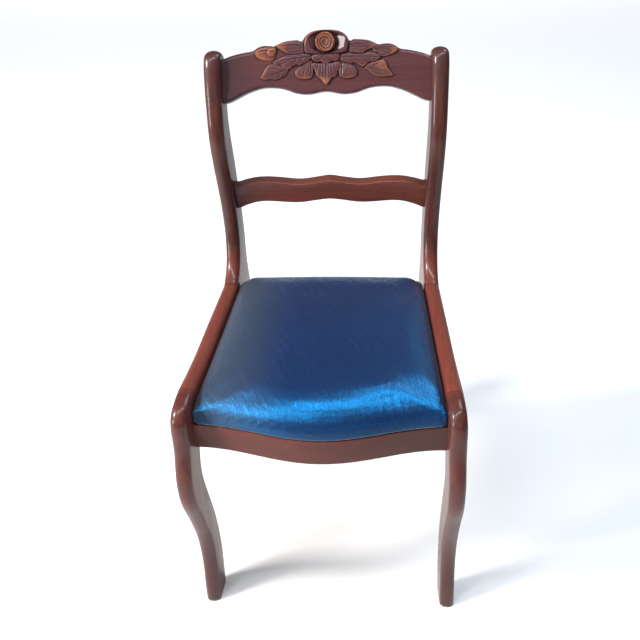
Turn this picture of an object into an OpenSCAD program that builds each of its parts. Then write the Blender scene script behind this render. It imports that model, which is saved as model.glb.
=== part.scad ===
// Balloon back dining chair with a rose-carved crest, serpentine mid rail, sawn side
// frames and a drop-in upholstered seat. Front faces -Y, up is +Z, and the origin is on
// the floor under the middle of the chair. Left and right are as seen from the front.

/* [Side frames] */
// Height of the side rail's top at the rear post
rail_rear_h = 445; // [425:1:470]
// Rise of the front leg's shoulder over the side rail's rear end
shoulder_rise = 10; // [4:0.5:16]
// Depth of the side rail at the rear post
rail_depth = 61; // [55:0.5:68]
// Length of the side rail between its two joints
rail_len = 293; // [260:1:330]
// How far the knee stands in front of the front joint
knee_reach = 80.5; // [74:0.5:92]
// How far the heel of the rear leg stands behind the rear joint
heel_reach = 160; // [140:1:180]
// Outer width over the two front joints
front_joint_w = 433; // [405:1:455]
// Inner width between the rear posts at the seat
rear_inner_w = 331; // [310:1:350]
// Thickness of the front leg and side rail at the front joint
leg_t = 26; // [24:0.5:30]
// How much thinner the front leg is at the floor
leg_taper = 2; // [0:0.5:3]
// How much the front foot stands in from the shoulder
leg_toe_in = 4; // [0:0.5:6]
// Thickness of the rear post at the seat
post_t = 25; // [24:0.5:28]
// How much the rear post gains in thickness from the seat to its top
post_swell = 2.6; // [0:0.1:4]
// How much the rear post leans outwards from the seat to its top
post_lean = 16.5; // [8:0.5:20]
// Depth of the rounded front edge of the side frames
round_d = 8.5; // [6:0.5:10]
// Radius of the eased rear edge of the side frames
ease_r = 2.5; // [1:0.5:4]

/* [Back] */
// Height of the rear post's top above the side rail
back_h = 377; // [360:1:400]
// Height of the carved crest at its middle
crest_h = 108.4; // [100:0.2:116]
// Thickness of the crest board
crest_t = 22; // [18:0.5:24]
// Lean of the crest from the vertical
crest_tilt = 28; // [24:0.5:32]
// Greatest rise of the carved leaves above the board
leaf_rise = 5; // [3:0.5:7]
// Depth of the scooped hollow round the rose
dish_d = 7; // [4:0.5:9]
// Rise of the rose above its half-raised bed
rose_rise = 4; // [3:0.5:6]
// Height of the mid rail at its ends
mid_rail_h = 36; // [32:0.5:42]
// Thickness of the mid rail
mid_rail_t = 24; // [20:0.5:26]

/* [Seat frame] */
// Drop from the side rail's rear end to the top of the front and rear seat rails
seat_drop = 37.5; // [32:0.5:41]
// Height of the front seat rail
front_rail_h = 46.5; // [42:0.5:50]
// Thickness of the front seat rail
front_rail_t = 21; // [19:0.5:22]
// How far the front seat rail bows forwards in the middle
front_bow = 33.3; // [20:0.1:40]
// Height of the rear seat rail
rear_rail_h = 45; // [40:0.5:48]
// Thickness of the rear seat rail
rear_rail_t = 22; // [18:0.5:24]
// Length of a corner block along each rail
block_len = 50; // [44:1:56]
// Height of a corner block
block_h = 22; // [19:0.5:24]

/* [Drop-in seat] */
// Thickness of the seat board
board_t = 11; // [9:0.5:14]
// Rise of the padding over the board at the middle of the seat
pad_rise = 41; // [30:1:45]
// Thickness of the seat cover
cover_t = 1; // [0.8:0.1:1.4]
// Width of the cover's turned-under hem
hem_w = 32; // [30:1:36]
// Gap between the covered seat and the side frames
seat_gap = 1; // [0.6:0.1:2]
// Setback of the covered seat from the front rail's face
seat_setback = 0.5; // [0.3:0.1:3]

/* [Joinery] */
// Diameter of the seat frame's dowels
frame_dowel_d = 10; // [8:0.5:10]
// Diameter of the back rails' dowels
back_dowel_d = 8; // [6:0.5:8]
// Depth of a dowel in a rail's end
dowel_in_rail = 22; // [18:0.5:26]
// Depth of a dowel in the side of a leg or post
dowel_in_leg = 13; // [10:0.5:15]
// Shank diameter of the screws
screw_d = 4.2; // [3.5:0.1:4.5]
// Head diameter of the screws
screw_head_d = 8; // [7:0.1:9]
// Length of a corner block screw
block_screw_len = 30; // [26:1:32]
// Length of a seat screw
seat_screw_len = 24; // [20:0.5:25]

/* [Hidden] */

// Colours of the lacquered and bare wood, steel, padding and cover
mahogany = "#5e2417";
carved_mahogany = "#6b2c1b";
bare_wood = "#b98a5e";
dowel_wood = "#d8b98a";
steel = "#9a9a9c";
padding_white = "#e6dfcf";
cover_blue = "#1d3f8f";

// Small working sizes: running gap of a dowel or screw, glue line and cutting overrun
fit_gap = 0.1;
glue_gap = 0.1;
block_gap = 0.25;
over = 0.5;
cyl_facets = 32;

// Heights of the leg's shoulder, the side rail's lower edge and the seat rails' top
shoulder_h = rail_rear_h + shoulder_rise;
rail_low_h = rail_rear_h - rail_depth;
seat_h = rail_rear_h - seat_drop;

// Depths from front to back, with the origin under the middle of the chair
total_depth = knee_reach + rail_len + heel_reach;
front_joint_y = knee_reach - total_depth / 2;
rear_joint_y = front_joint_y + rail_len;

// Layers across a side board's thickness, as angles round its half-round edge
layer_angles = [-90, -60, -30, 0, 30, 60, 90];

// Front leg, as [depth share of knee_reach, height share of shoulder_h, round share]
leg_front_shares = [
    [-0.596, 0, 1], [-0.584, 0.042, 1], [-0.54, 0.094, 1], [-0.492, 0.147, 1],
    [-0.458, 0.2, 1], [-0.452, 0.252, 1], [-0.478, 0.315, 1], [-0.538, 0.372, 1],
    [-0.628, 0.428, 1], [-0.73, 0.486, 1], [-0.83, 0.535, 1], [-0.925, 0.582, 1],
    [-0.985, 0.63, 1], [-1, 0.68, 1], [-0.98, 0.728, 1], [-0.91, 0.775, 1],
    [-0.825, 0.824, 1], [-0.785, 0.876, 1], [-0.765, 0.918, 1], [-0.70, 0.957, 1],
    [-0.53, 0.985, 1], [-0.28, 0.997, 1], [0, 1, 1]
];
leg_rear_shares = [
    [-0.035, 0, 0], [0.005, 0.045, 0], [0.055, 0.1, 0], [0.095, 0.158, 0],
    [0.112, 0.215, 0], [0.106, 0.27, 0], [0.08, 0.325, 0], [0.048, 0.37, 0],
    [0.01, 0.41, 0], [-0.045, 0.455, 0], [-0.105, 0.50, 0], [-0.165, 0.545, 0],
    [-0.225, 0.59, 0], [-0.268, 0.633, 0], [-0.282, 0.675, 0], [-0.257, 0.713, 0],
    [-0.205, 0.748, 0], [-0.135, 0.785, 0]
];

// Side rail's top edge, as [share of rail_len, share of the drop to the rear joint]
rail_top_shares = [[0, 0], [0.15, 0.42], [0.31, 0.75], [0.48, 0.85], [0.65, 0.85], [0.81, 0.93], [1, 1]];
rail_low_shares = [0, 0.25, 0.5, 0.75, 1];
rail_arch = 3;

// Rear post from the rear joint up and over its top, as
// [depth share of heel_reach, height share of back_h above the side rail, round share]
post_front_shares = [
    [0, 0, 1], [0.055, 0.009, 1], [0.128, 0.027, 1], [0.222, 0.065, 1],
    [0.292, 0.115, 1], [0.346, 0.175, 1], [0.372, 0.237, 1], [0.383, 0.298, 1],
    [0.384, 0.364, 1], [0.376, 0.443, 1], [0.366, 0.518, 1], [0.365, 0.587, 1],
    [0.375, 0.648, 1], [0.403, 0.706, 1], [0.44, 0.759, 1], [0.482, 0.813, 1],
    [0.525, 0.865, 1], [0.575, 0.916, 1], [0.63, 0.962, 1], [0.687, 0.99, 1],
    [0.75, 1, 1]
];
// Rear leg's front edge from the floor to the rear joint, heights as shares of rail_low_h
post_low_shares = [
    [0.77, 0, 0.5], [0.705, 0.11, 0.5], [0.635, 0.23, 0.5], [0.56, 0.36, 0.5],
    [0.482, 0.50, 0.5], [0.404, 0.64, 0.5], [0.335, 0.77, 0.5], [0.268, 0.87, 0.5],
    [0.165, 0.955, 0.5], [0, 1, 0.5]
];
// Rear edge from the floor to the side rail's height, then on up to the top
post_rear_low_shares = [
    [1, 0, 0], [0.945, 0.10, 0], [0.882, 0.21, 0], [0.812, 0.33, 0], [0.74, 0.46, 0],
    [0.672, 0.59, 0], [0.612, 0.72, 0], [0.566, 0.84, 0], [0.541, 0.94, 0]
];
post_rear_high_shares = [
    [0.534, -0.082, 0], [0.544, -0.01, 0], [0.572, 0.057, 0], [0.606, 0.118, 0],
    [0.631, 0.185, 0], [0.644, 0.257, 0], [0.651, 0.329, 0], [0.658, 0.401, 0],
    [0.664, 0.473, 0], [0.663, 0.545, 0], [0.66, 0.612, 0], [0.667, 0.674, 0],
    [0.692, 0.733, 0], [0.736, 0.787, 0], [0.787, 0.839, 0], [0.84, 0.888, 0],
    [0.878, 0.928, 0.2], [0.874, 0.966, 0.6], [0.829, 0.992, 1], [0.765, 1, 1]
];

// Places of the back rails on the rear post, as shares of heel_reach and back_h
crest_foot_share = [0.564, 0.816];
mid_rail_share = [0.485, 0.342];

// Crest outlines, as [share of the half span, share of crest_h]
crest_top_shares = [
    [0, 1], [0.06, 0.998], [0.115, 0.985], [0.165, 0.95], [0.2, 0.9], [0.219, 0.85],
    [0.236, 0.835], [0.27, 0.856], [0.34, 0.852], [0.40, 0.838], [0.45, 0.808],
    [0.495, 0.776], [0.54, 0.78], [0.60, 0.782], [0.65, 0.76], [0.69, 0.72],
    [0.72, 0.703], [0.78, 0.69], [0.84, 0.672], [0.9, 0.65], [0.95, 0.625], [1, 0.598]
];
crest_low_shares = [
    [0, 0.098], [0.06, 0.088], [0.12, 0.068], [0.19, 0.058], [0.29, 0.078],
    [0.36, 0.115], [0.42, 0.145], [0.51, 0.164], [0.61, 0.16], [0.69, 0.13],
    [0.77, 0.085], [0.85, 0.025], [0.92, -0.03], [0.96, -0.052], [1, -0.06]
];
// Carved leaves of the right half: outline, then the ends of the sunk midrib, all as
// shares of the half span and crest_h, then the leaf's rise as a share of leaf_rise
leaf_shares = [
    [[[0.21, 0.835], [0.28, 0.853], [0.355, 0.85], [0.42, 0.835], [0.475, 0.78],
        [0.44, 0.728], [0.395, 0.69], [0.33, 0.648], [0.27, 0.672], [0.21, 0.69]],
        [[0.21, 0.75], [0.45, 0.785]], 0.8],
    [[[0.41, 0.69], [0.475, 0.742], [0.525, 0.777], [0.57, 0.782], [0.62, 0.775],
        [0.66, 0.745], [0.685, 0.71], [0.65, 0.655], [0.605, 0.628], [0.555, 0.60],
        [0.50, 0.595], [0.45, 0.63]],
        [[0.43, 0.66], [0.66, 0.715]], 0.62],
    [[[0.13, 0.61], [0.21, 0.644], [0.27, 0.66], [0.33, 0.658], [0.385, 0.641],
        [0.45, 0.605], [0.507, 0.567], [0.465, 0.512], [0.42, 0.484], [0.375, 0.45],
        [0.335, 0.45], [0.29, 0.48], [0.25, 0.494], [0.18, 0.53]],
        [[0.14, 0.60], [0.48, 0.56]], 0.92],
    [[[0.37, 0.44], [0.41, 0.494], [0.465, 0.521], [0.52, 0.53], [0.555, 0.516],
        [0.59, 0.42], [0.627, 0.308], [0.57, 0.302], [0.51, 0.298], [0.465, 0.296],
        [0.42, 0.327], [0.38, 0.38]],
        [[0.38, 0.44], [0.60, 0.34]], 0.75],
    [[[0.15, 0.55], [0.20, 0.545], [0.25, 0.515], [0.285, 0.46], [0.295, 0.405],
        [0.28, 0.335], [0.245, 0.298], [0.20, 0.286], [0.155, 0.29], [0.12, 0.33],
        [0.108, 0.39], [0.125, 0.47]],
        [[0.165, 0.53], [0.21, 0.33]], 0.72]
];
centre_leaf_shares = [
    [[-0.05, 0.53], [0.127, 0.52], [0.113, 0.44], [0.099, 0.353], [0.083, 0.304],
        [0.06, 0.277], [0.03, 0.25], [0, 0.202], [-0.05, 0.21]],
    [[0, 0.50], [0, 0.24]], 0.88
];
petal_shares = [
    [[-0.05, 0.67], [0.125, 0.67], [0.142, 0.59], [0.125, 0.535], [0.09, 0.54],
        [0.045, 0.51], [-0.05, 0.505]],
    [[0, 0.66], [0, 0.65]], 1
];
hood_shares = [
    [[-0.05, 1.03], [0.09, 1.03], [0.155, 0.99], [0.20, 0.91], [0.222, 0.81],
        [0.212, 0.70], [0.18, 0.65], [-0.05, 0.62]],
    [[0, 0.7], [0, 0.7]], 1
];
rose_share = [0, 0.812];
rose_r_share = 0.158;
rose_turns = 2.2;
rose_swirl_share = 0.14;
dish_half_shares = [0.182, 0.17];
leaf_slope_share = 0.03;
leaf_vein_share = 0.34;
// Stations along the crest, as [share of the half span, stations up to there]
station_shares = [[0.19, 13], [0.70, 26], [1, 6]];
crest_rows = 34;
crest_edge_share = 0.06;

// Mid rail's serpentine edges, as [share of the half span, share of mid_rail_h]
mid_top_shares = [
    [0, 0.915], [0.13, 0.83], [0.27, 0.735], [0.36, 0.73], [0.46, 0.785], [0.57, 0.84],
    [0.67, 0.863], [0.78, 0.835], [0.89, 0.73], [1, 0.605]
];
mid_low_shares = [
    [0, -0.105], [0.13, -0.165], [0.27, -0.265], [0.36, -0.29], [0.46, -0.27],
    [0.57, -0.23], [0.68, -0.205], [0.79, -0.265], [0.9, -0.425], [1, -0.6]
];
mid_stations = 36;
mid_ease = 3;

// Front seat rail: how far its ends stand in front of the front joint, and eased edges
front_rail_fore = 30.3;
rail_ease = 1.5;
front_stations = 28;

// Rear seat rail: how far its front face stands behind the rear joint
rear_rail_back = 17;

// Drop-in seat: how far its rear edge stands behind the rear joint, and its corners
seat_back = 34;
seat_rear_r = 26;
seat_front_r = 9;
seat_draw = 1.2;
// Seat section from its edge to its middle, as [share of the plan, share of the rise]
crown_shares = [
    [1, 0], [1.002, 0.32], [0.994, 0.52], [0.965, 0.685],
    [0.89, 0.80], [0.73, 0.895], [0.45, 0.97], [0.1, 1]
];
plan_side_points = 7;
plan_end_points = 10;
plan_corner_points = 3;
plan_rear_points = 3;

// Joinery places
side_dowel_shares = [0.39, 0.82];
rail_dowel_low = 14;
rail_dowel_step = 16;
crest_dowel_shares = [0.14, 0.44];
mid_dowel_step = 15;
block_screw_side = 30;
block_screw_drop = 14;
block_screw_sink = 4;
seat_screw_in = 14;
seat_screw_sink = 8;
screw_slot_w = 1;
screw_slot_d = 1.2;
tack_in = 27;
tack_head_r = 3.2;
tack_head_t = 0.8;
tack_shank_r = 0.9;
tack_len = 8;
tack_shares = [-0.62, -0.21, 0.21, 0.62];
side_tack_shares = [0.28, 0.42, 0.56, 0.7];

// Curves

// Heading of a line of knots at knot i; the first and last headings can be given.
function heading(p, i, first, last) =
    i == 0 ? first :
    i == len(p) - 1 ? last :
    let (back = p[i] - p[i - 1], fore = p[i + 1] - p[i], b = norm(back), f = norm(fore))
    (back / b * f + fore / f * b) / (b + f);

// Point and heading on the cubic from knot k to the next, f of the way along.
function on_cubic(p, k, f, first, last) =
    let (
        chord = norm(p[k + 1] - p[k]),
        m0 = heading(p, k, first, last) * chord,
        m1 = heading(p, k + 1, first, last) * chord,
        place = (2 * f ^ 3 - 3 * f ^ 2 + 1) * p[k] + (f ^ 3 - 2 * f ^ 2 + f) * m0
            + (3 * f ^ 2 - 2 * f ^ 3) * p[k + 1] + (f ^ 3 - f ^ 2) * m1,
        way = (6 * f ^ 2 - 6 * f) * p[k] + (3 * f ^ 2 - 4 * f + 1) * m0
            + (6 * f - 6 * f ^ 2) * p[k + 1] + (3 * f ^ 2 - 2 * f) * m1
    )
    [place, way / norm(way)];

// The n points of a smooth line through 2-D knots, each as [place, heading, round].
function smooth_line(knots, first, last, n) =
    let (p = [for (k = knots) [k[0], k[1]]])
    [for (i = [0:n - 1])
        let (
            t = (len(p) - 1) * i / (n - 1),
            k = min(floor(t), len(p) - 2),
            at = on_cubic(p, k, t - k, first, last)
        )
        [at[0], at[1], knots[k][2] + (knots[k + 1][2] - knots[k][2]) * (t - k)]];

// Value at x of a smooth curve through [x, value] knots, level at both ends.
function curve_at(k, x, i = 0) =
    x > k[i + 1][0] && i < len(k) - 2 ? curve_at(k, x, i + 1) :
    let (
        h = k[i + 1][0] - k[i][0],
        f = (x - k[i][0]) / h,
        m0 = i == 0 ? 0 : (k[i + 1][1] - k[i - 1][1]) / (k[i + 1][0] - k[i - 1][0]) * h,
        m1 = i == len(k) - 2 ? 0 : (k[i + 2][1] - k[i][1]) / (k[i + 2][0] - k[i][0]) * h
    )
    (2 * f ^ 3 - 3 * f ^ 2 + 1) * k[i][1] + (f ^ 3 - 2 * f ^ 2 + f) * m0
        + (3 * f ^ 2 - 2 * f ^ 3) * k[i + 1][1] + (f ^ 3 - f ^ 2) * m1;

// Solids

// A closed solid through rings of points, all rings alike in count. The end faces are
// one polygon each, or strips between the two halves of the ring where they are twisted.
module loft(rings, strips = false) {
    n = len(rings[0]);
    m = len(rings);
    sides = [for (k = [0:m - 2]) for (i = [0:n - 1])
        let (
            a = k * n + i, b = k * n + (i + 1) % n, c = b + n, d = a + n,
            ac = norm(rings[k][i] - rings[k + 1][(i + 1) % n]),
            bd = norm(rings[k][(i + 1) % n] - rings[k + 1][i])
        )
        each ac <= bd ? [[a, b, c], [a, c, d]] : [[a, b, d], [b, c, d]]];
    last = (m - 1) * n;
    caps = strips
        ? [for (i = [0:n / 2 - 2])
            let (j = n - 1 - i)
            each [
                [i, j, i + 1], [i + 1, j, j - 1],
                [last + i, last + i + 1, last + j], [last + i + 1, last + j - 1, last + j]
            ]]
        : [[for (i = [n - 1:-1:0]) i], [for (i = [0:n - 1]) last + i]];
    polyhedron(points = [for (r = rings) each r], faces = concat(sides, caps), convexity = 10);
}

function reversed(list) = [for (i = [len(list) - 1:-1:0]) list[i]];

// How far an edge point draws in at a layer angle, for a round share from 0 to 1.
function drawn_in(angle, share, t) =
    let (
        thumb = round_d * (1 - cos(angle)),
        from_face = t / 2 * (1 - abs(sin(angle))),
        eased = from_face >= ease_r ? 0
            : ease_r - sqrt(ease_r ^ 2 - (ease_r - from_face) ^ 2)
    )
    share * thumb + (1 - share) * eased;

// One layer of a sawn board: its front and rear lines, drawn in for that layer. An end
// point draws in along the board's end, so joints and feet stay flat.
function board_line(line, other, turn, angle, inner, thick) =
    [for (i = [0:len(line) - 1])
        let (
            p = line[i][0],
            to_other = other[i][0] - p,
            at_end = (i == 0 || i == len(line) - 1) && norm(to_other) > leg_t / 2,
            in = at_end ? to_other / norm(to_other)
                : turn * [line[i][1][1], -line[i][1][0]],
            q = p + in * drawn_in(angle, line[i][2], leg_t),
            t = thick(q)
        )
        [inner(q) + t / 2 * (1 + sin(angle)), q[0], q[1]]];

// A board sawn to a side view between a front and a rear line of equal counts, rounded
// along its edges, with its inner face and thickness given as functions of [y, z].
module sawn_board(front, rear, inner, thick) {
    loft([for (angle = layer_angles)
        concat(
            board_line(front, rear, 1, angle, inner, thick),
            reversed(board_line(rear, front, -1, angle, inner, thick))
        )], strips = true);
}

// The part on the left is the mirror of the part on the right.
module on_side(side) {
    mirror([side == "left" ? 1 : 0, 0, 0]) children();
}

module bore(d, from, to) {
    along = to - from;
    translate(from)
        rotate([0, acos(along[2] / norm(along)), atan2(along[1], along[0])])
            cylinder(h = norm(along), d = d, $fn = cyl_facets);
}

// Faces of the side frames

function front_in() = front_joint_w / 2 - leg_t;
function side_slant() = (front_in() - rear_inner_w / 2) / rail_len;
function post_in(q) =
    rear_inner_w / 2 - side_slant() * (q[0] - rear_joint_y)
    + post_lean * (q[1] - rail_rear_h) / back_h;
function post_thick(q) = post_t + post_swell * (q[1] - rail_rear_h) / back_h;
function leg_in(q) =
    front_in() + side_slant() * (front_joint_y - q[0])
    - (leg_toe_in - leg_taper) * (1 - q[1] / shoulder_h);
function leg_thick(q) = leg_t - leg_taper * (1 - q[1] / shoulder_h);
function rail_way(q) = (q[0] - front_joint_y) / rail_len;
function rail_in(q) =
    leg_in([front_joint_y, q[1]]) * (1 - rail_way(q))
    + post_in([rear_joint_y, q[1]]) * rail_way(q);
function rail_thick(q) =
    leg_thick(q) * (1 - rail_way(q)) + post_thick(q) * rail_way(q);
// Inner face anywhere along a side at height z, from the leg to the rear post
function side_in(y, z) =
    y < front_joint_y ? leg_in([y, z]) :
    y < rear_joint_y ? rail_in([y, z]) : post_in([y, z]);

// Side view lines

leg_points = 37;
leg_front = smooth_line(
    [for (k = leg_front_shares)
        [front_joint_y + k[0] * knee_reach, k[1] * shoulder_h, k[2]]],
    [0, 1], [1, 0], leg_points);
leg_rear = smooth_line(
    concat(
        [for (k = leg_rear_shares)
            [front_joint_y + k[0] * knee_reach, k[1] * shoulder_h, k[2]]],
        [[front_joint_y, rail_low_h, 0]]),
    [0, 1], [1, 0], leg_points);

rail_points = 19;
rail_top = smooth_line(
    [for (k = rail_top_shares)
        [front_joint_y + k[0] * rail_len,
            shoulder_h - k[1] * (shoulder_h - rail_rear_h), 1]],
    [1, 0], [1, 0], rail_points);
rail_low = smooth_line(
    [for (k = rail_low_shares)
        [front_joint_y + k * rail_len, rail_low_h + rail_arch * sin(180 * k), 0]],
    [1, 0], [1, 0], rail_points);

post_low_points = 16;
post_high_points = 32;
post_front_low = smooth_line(
    [for (k = post_low_shares)
        [rear_joint_y + k[0] * heel_reach, k[1] * rail_low_h, k[2]]],
    [-0.29, 0.957], [-1, 0], post_low_points);
post_front_high = smooth_line(
    [for (k = post_front_shares)
        [rear_joint_y + k[0] * heel_reach, rail_rear_h + k[1] * back_h, k[2]]],
    [1, 0], [1, 0], post_high_points);
post_rear_line = smooth_line(
    concat(
        [for (k = post_rear_low_shares)
            [rear_joint_y + k[0] * heel_reach, k[1] * rail_low_h, k[2]]],
        [for (k = post_rear_high_shares)
            [rear_joint_y + k[0] * heel_reach, rail_rear_h + k[1] * back_h, k[2]]]),
    [-0.22, 0.976], [-1, 0], post_low_points + post_high_points);

// Dowels between a side rail and the leg or post that it meets at joint_y
function side_dowels(joint_y) =
    [for (share = side_dowel_shares)
        let (z = rail_low_h + share * rail_depth,
            x = side_in(joint_y, z) + rail_thick([joint_y, z]) / 2)
        [x, joint_y, z]];

module side_dowel_bores(joint_y, gap) {
    for (at = side_dowels(joint_y))
        bore(frame_dowel_d + 2 * gap,
            at - [0, dowel_in_rail + gap, 0], at + [0, dowel_in_rail + gap, 0]);
}

// A dowel across the right-hand end of a cross rail: half of it in the leg or post
module cross_dowel_bore(x, y, z, d, gap) {
    bore(d + 2 * gap, [x - dowel_in_rail - gap, y, z], [x + dowel_in_leg + gap, y, z]);
}

// Front seat rail

function rail_front_y(x) =
    let (half = leg_in([front_joint_y - front_rail_fore, seat_h]))
    front_joint_y - front_rail_fore - front_bow / 2 * (1 + cos(180 * x / half));
front_rail_mid_y = front_joint_y - front_rail_fore + front_rail_t / 2;
front_dowel_z = [for (k = [0, 1]) seat_h - front_rail_h + rail_dowel_low + k * rail_dowel_step];

// One section of the front rail at a share of the half span, eased at its long edges
function front_rail_ring(share) =
    let (
        low = seat_h - front_rail_h,
        nominal = share * leg_in([front_joint_y - front_rail_fore, seat_h]),
        y = rail_front_y(nominal),
        back = y + front_rail_t
    )
    [for (q = [
            [y + rail_ease, low], [y, low + rail_ease], [y, seat_h - rail_ease],
            [y + rail_ease, seat_h], [back - rail_ease, seat_h], [back, seat_h - rail_ease],
            [back, low + rail_ease], [back - rail_ease, low]])
        [share * leg_in(q), q[0], q[1]]];

module front_rail_bores(gap) {
    for (z = front_dowel_z)
        cross_dowel_bore(leg_in([front_rail_mid_y, z]), front_rail_mid_y, z, frame_dowel_d, gap);
}

// Rear seat rail

rear_rail_y = rear_joint_y + rear_rail_back;
rear_rail_mid_y = rear_rail_y + rear_rail_t / 2;
rear_dowel_z = [for (k = [0, 1]) seat_h - rear_rail_h + rail_dowel_low + k * rail_dowel_step];

function rear_rail_ring(share) =
    let (low = seat_h - rear_rail_h, back = rear_rail_y + rear_rail_t)
    [for (q = [
            [rear_rail_y + rail_ease, low], [rear_rail_y, low + rail_ease],
            [rear_rail_y, seat_h - rail_ease], [rear_rail_y + rail_ease, seat_h],
            [back - rail_ease, seat_h], [back, seat_h - rail_ease],
            [back, low + rail_ease], [back - rail_ease, low]])
        [share * post_in(q), q[0], q[1]]];

module rear_rail_bores(gap) {
    for (z = rear_dowel_z)
        cross_dowel_bore(post_in([rear_rail_mid_y, z]), rear_rail_mid_y, z, frame_dowel_d, gap);
}

// Mid rail

mid_y = rear_joint_y + mid_rail_share[0] * heel_reach;
mid_z = rail_rear_h + mid_rail_share[1] * back_h;
mid_dowel_z = [mid_z - mid_dowel_step / 2, mid_z + mid_dowel_step / 2];

function mid_rail_ring(share) =
    let (
        low = mid_z + curve_at(mid_low_shares, abs(share)) * mid_rail_h,
        top = mid_z + curve_at(mid_top_shares, abs(share)) * mid_rail_h,
        back = mid_y + mid_rail_t,
        c = mid_ease * (1 - cos(45))
    )
    [for (q = [
            [mid_y + mid_ease, low], [mid_y + c, low + c], [mid_y, low + mid_ease],
            [mid_y, top - mid_ease], [mid_y + c, top - c], [mid_y + mid_ease, top],
            [back - mid_ease, top], [back - c, top - c], [back, top - mid_ease],
            [back, low + mid_ease], [back - c, low + c], [back - mid_ease, low]])
        [share * post_in(q), q[0], q[1]]];

module mid_rail_bores(gap) {
    y = mid_y + mid_rail_t / 2;
    for (z = mid_dowel_z)
        cross_dowel_bore(post_in([y, z]), y, z, back_dowel_d, gap);
}

// Crest rail: x across, v up the leaning board and n out of its front face

crest_foot = [
    rear_joint_y + crest_foot_share[0] * heel_reach,
    rail_rear_h + crest_foot_share[1] * back_h
];
function crest_yz(v, n) =
    crest_foot + v * [sin(crest_tilt), cos(crest_tilt)] + n * [-cos(crest_tilt), sin(crest_tilt)];
function crest_point(share, v, n) =
    let (q = crest_yz(v, n))
    [share * post_in(q), q[0], q[1]];
crest_span = post_in(crest_foot);
half_stations = [for (i = [0:len(station_shares) - 1])
    let (from = i == 0 ? 0 : station_shares[i - 1][0], n = station_shares[i][1])
    each [for (k = [1:n]) from + (station_shares[i][0] - from) * k / n]];
crest_stations = concat([for (share = reversed(half_stations)) -share], [0], half_stations);
crest_dowel_at = [for (share = crest_dowel_shares) crest_yz(share * crest_h, -crest_t / 2)];

function on_crest(shares) = [for (q = shares) [q[0] * crest_span, q[1] * crest_h]];
carved_pieces =
    [for (leaf = concat(leaf_shares, [centre_leaf_shares, petal_shares, hood_shares]))
        let (outline = on_crest(leaf[0]))
        [outline, on_crest(leaf[1]), leaf[2] * leaf_rise,
            min([for (q = outline) q[0]]), max([for (q = outline) q[0]])]];

function to_segment(p, a, b) =
    let (along = b - a, t = max(0, min(1, (p - a) * along / max(along * along, fit_gap))))
    norm(p - a - t * along);
function to_outline(p, o) =
    min([for (i = [0:len(o) - 1]) to_segment(p, o[i], o[(i + 1) % len(o)])]);
function is_inside(p, o) =
    len([for (i = [0:len(o) - 1])
        let (a = o[i], b = o[(i + 1) % len(o)])
        if ((a[1] > p[1]) != (b[1] > p[1])
            && p[0] < a[0] + (b[0] - a[0]) * (p[1] - a[1]) / (b[1] - a[1])) i]) % 2 == 1;

// Rise of one carved piece at p: steep at its rim, then gently domed, with a sunk midrib
function piece_rise(p, piece) =
    p[0] < piece[3] || p[0] > piece[4] || !is_inside(p, piece[0]) ? 0 :
    let (
        slope = leaf_slope_share * crest_h,
        rim = min(1, to_outline(p, piece[0]) / slope),
        rib = max(0, 1 - to_segment(p, piece[1][0], piece[1][1]) / slope)
    )
    piece[2] * (rim - leaf_vein_share * rib * min(1, rim));

// The rose with its swirled petals, in the dish that is scooped out of its hood
function rose_level(p) =
    let (
        from = p - [rose_share[0] * crest_span, rose_share[1] * crest_h],
        r = norm(from) / (rose_r_share * crest_h),
        dish = norm([from[0] / (dish_half_shares[0] * crest_span),
            from[1] / (dish_half_shares[1] * crest_h)]),
        swirl = rose_swirl_share * sin(360 * rose_turns * r + atan2(from[1], from[0])),
        scoop = leaf_rise - dish_d * (1 - dish ^ 3)
    )
    r < 1 ? rose_rise * (sqrt(1 - 0.7 * r ^ 2) + swirl * (1 - r ^ 4)) + leaf_rise / 2
        : dish < 1 ? scoop : undef;

function crest_carving(p) =
    let (q = [abs(p[0]), p[1]], rose = rose_level(p))
    is_undef(rose) ? max([for (piece = carved_pieces) piece_rise(q, piece)]) : rose;

// How far the face falls away at the board's long edges
function edge_fall(up) =
    let (reach = crest_edge_share * crest_h, short = max(0, reach - max(0, up)))
    reach - sqrt(reach ^ 2 - short ^ 2);

function crest_ring(share) =
    let (
        x = share * crest_span,
        low = curve_at(crest_low_shares, abs(share)) * crest_h,
        top = curve_at(crest_top_shares, abs(share)) * crest_h,
        ease = crest_edge_share * crest_h / 2
    )
    concat(
        [for (j = [0:crest_rows])
            let (v = low + (top - low) * (1 - cos(180 * j / crest_rows)) / 2 * 0.35
                    + (top - low) * j / crest_rows * 0.65,
                at_end = abs(share) > 0.999)
            crest_point(share, v, at_end ? -edge_fall(min(v - low, top - v))
                : crest_carving([x, v]) - edge_fall(min(v - low, top - v)))],
        [for (q = [[top, ease - crest_t], [top - ease, -crest_t], [low + ease, -crest_t], [low, ease - crest_t]])
            crest_point(share, q[0], q[1])]
    );

module crest_bores(gap) {
    for (q = crest_dowel_at)
        cross_dowel_bore(post_in(q), q[0], q[1], back_dowel_d, gap);
}

// Corner blocks and their screws, for the right-hand side; fore is 1 at the front, -1 behind

function block_y(fore, x) =
    fore > 0 ? rail_front_y(x) + front_rail_t + block_gap : rear_rail_y - glue_gap;
function block_base(fore) =
    let (y = fore > 0 ? front_joint_y - front_rail_fore + front_rail_t : rear_rail_y)
    [side_in(y, seat_h - block_h) - glue_gap, y];
function block_screw_z() = seat_h - block_screw_drop;

function block_plan(fore) =
    let (
        base = block_base(fore),
        low = seat_h - block_h,
        far_y = base[1] + fore * block_len,
        steps = 5
    )
    concat(
        [for (k = [0:steps])
            let (x = base[0] - block_len * (1 - k / steps)) [x, block_y(fore, x)]],
        [for (k = [1:steps])
            let (y = base[1] + (far_y - base[1]) * k / steps) [side_in(y, low) - glue_gap, y]]
    );

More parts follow.
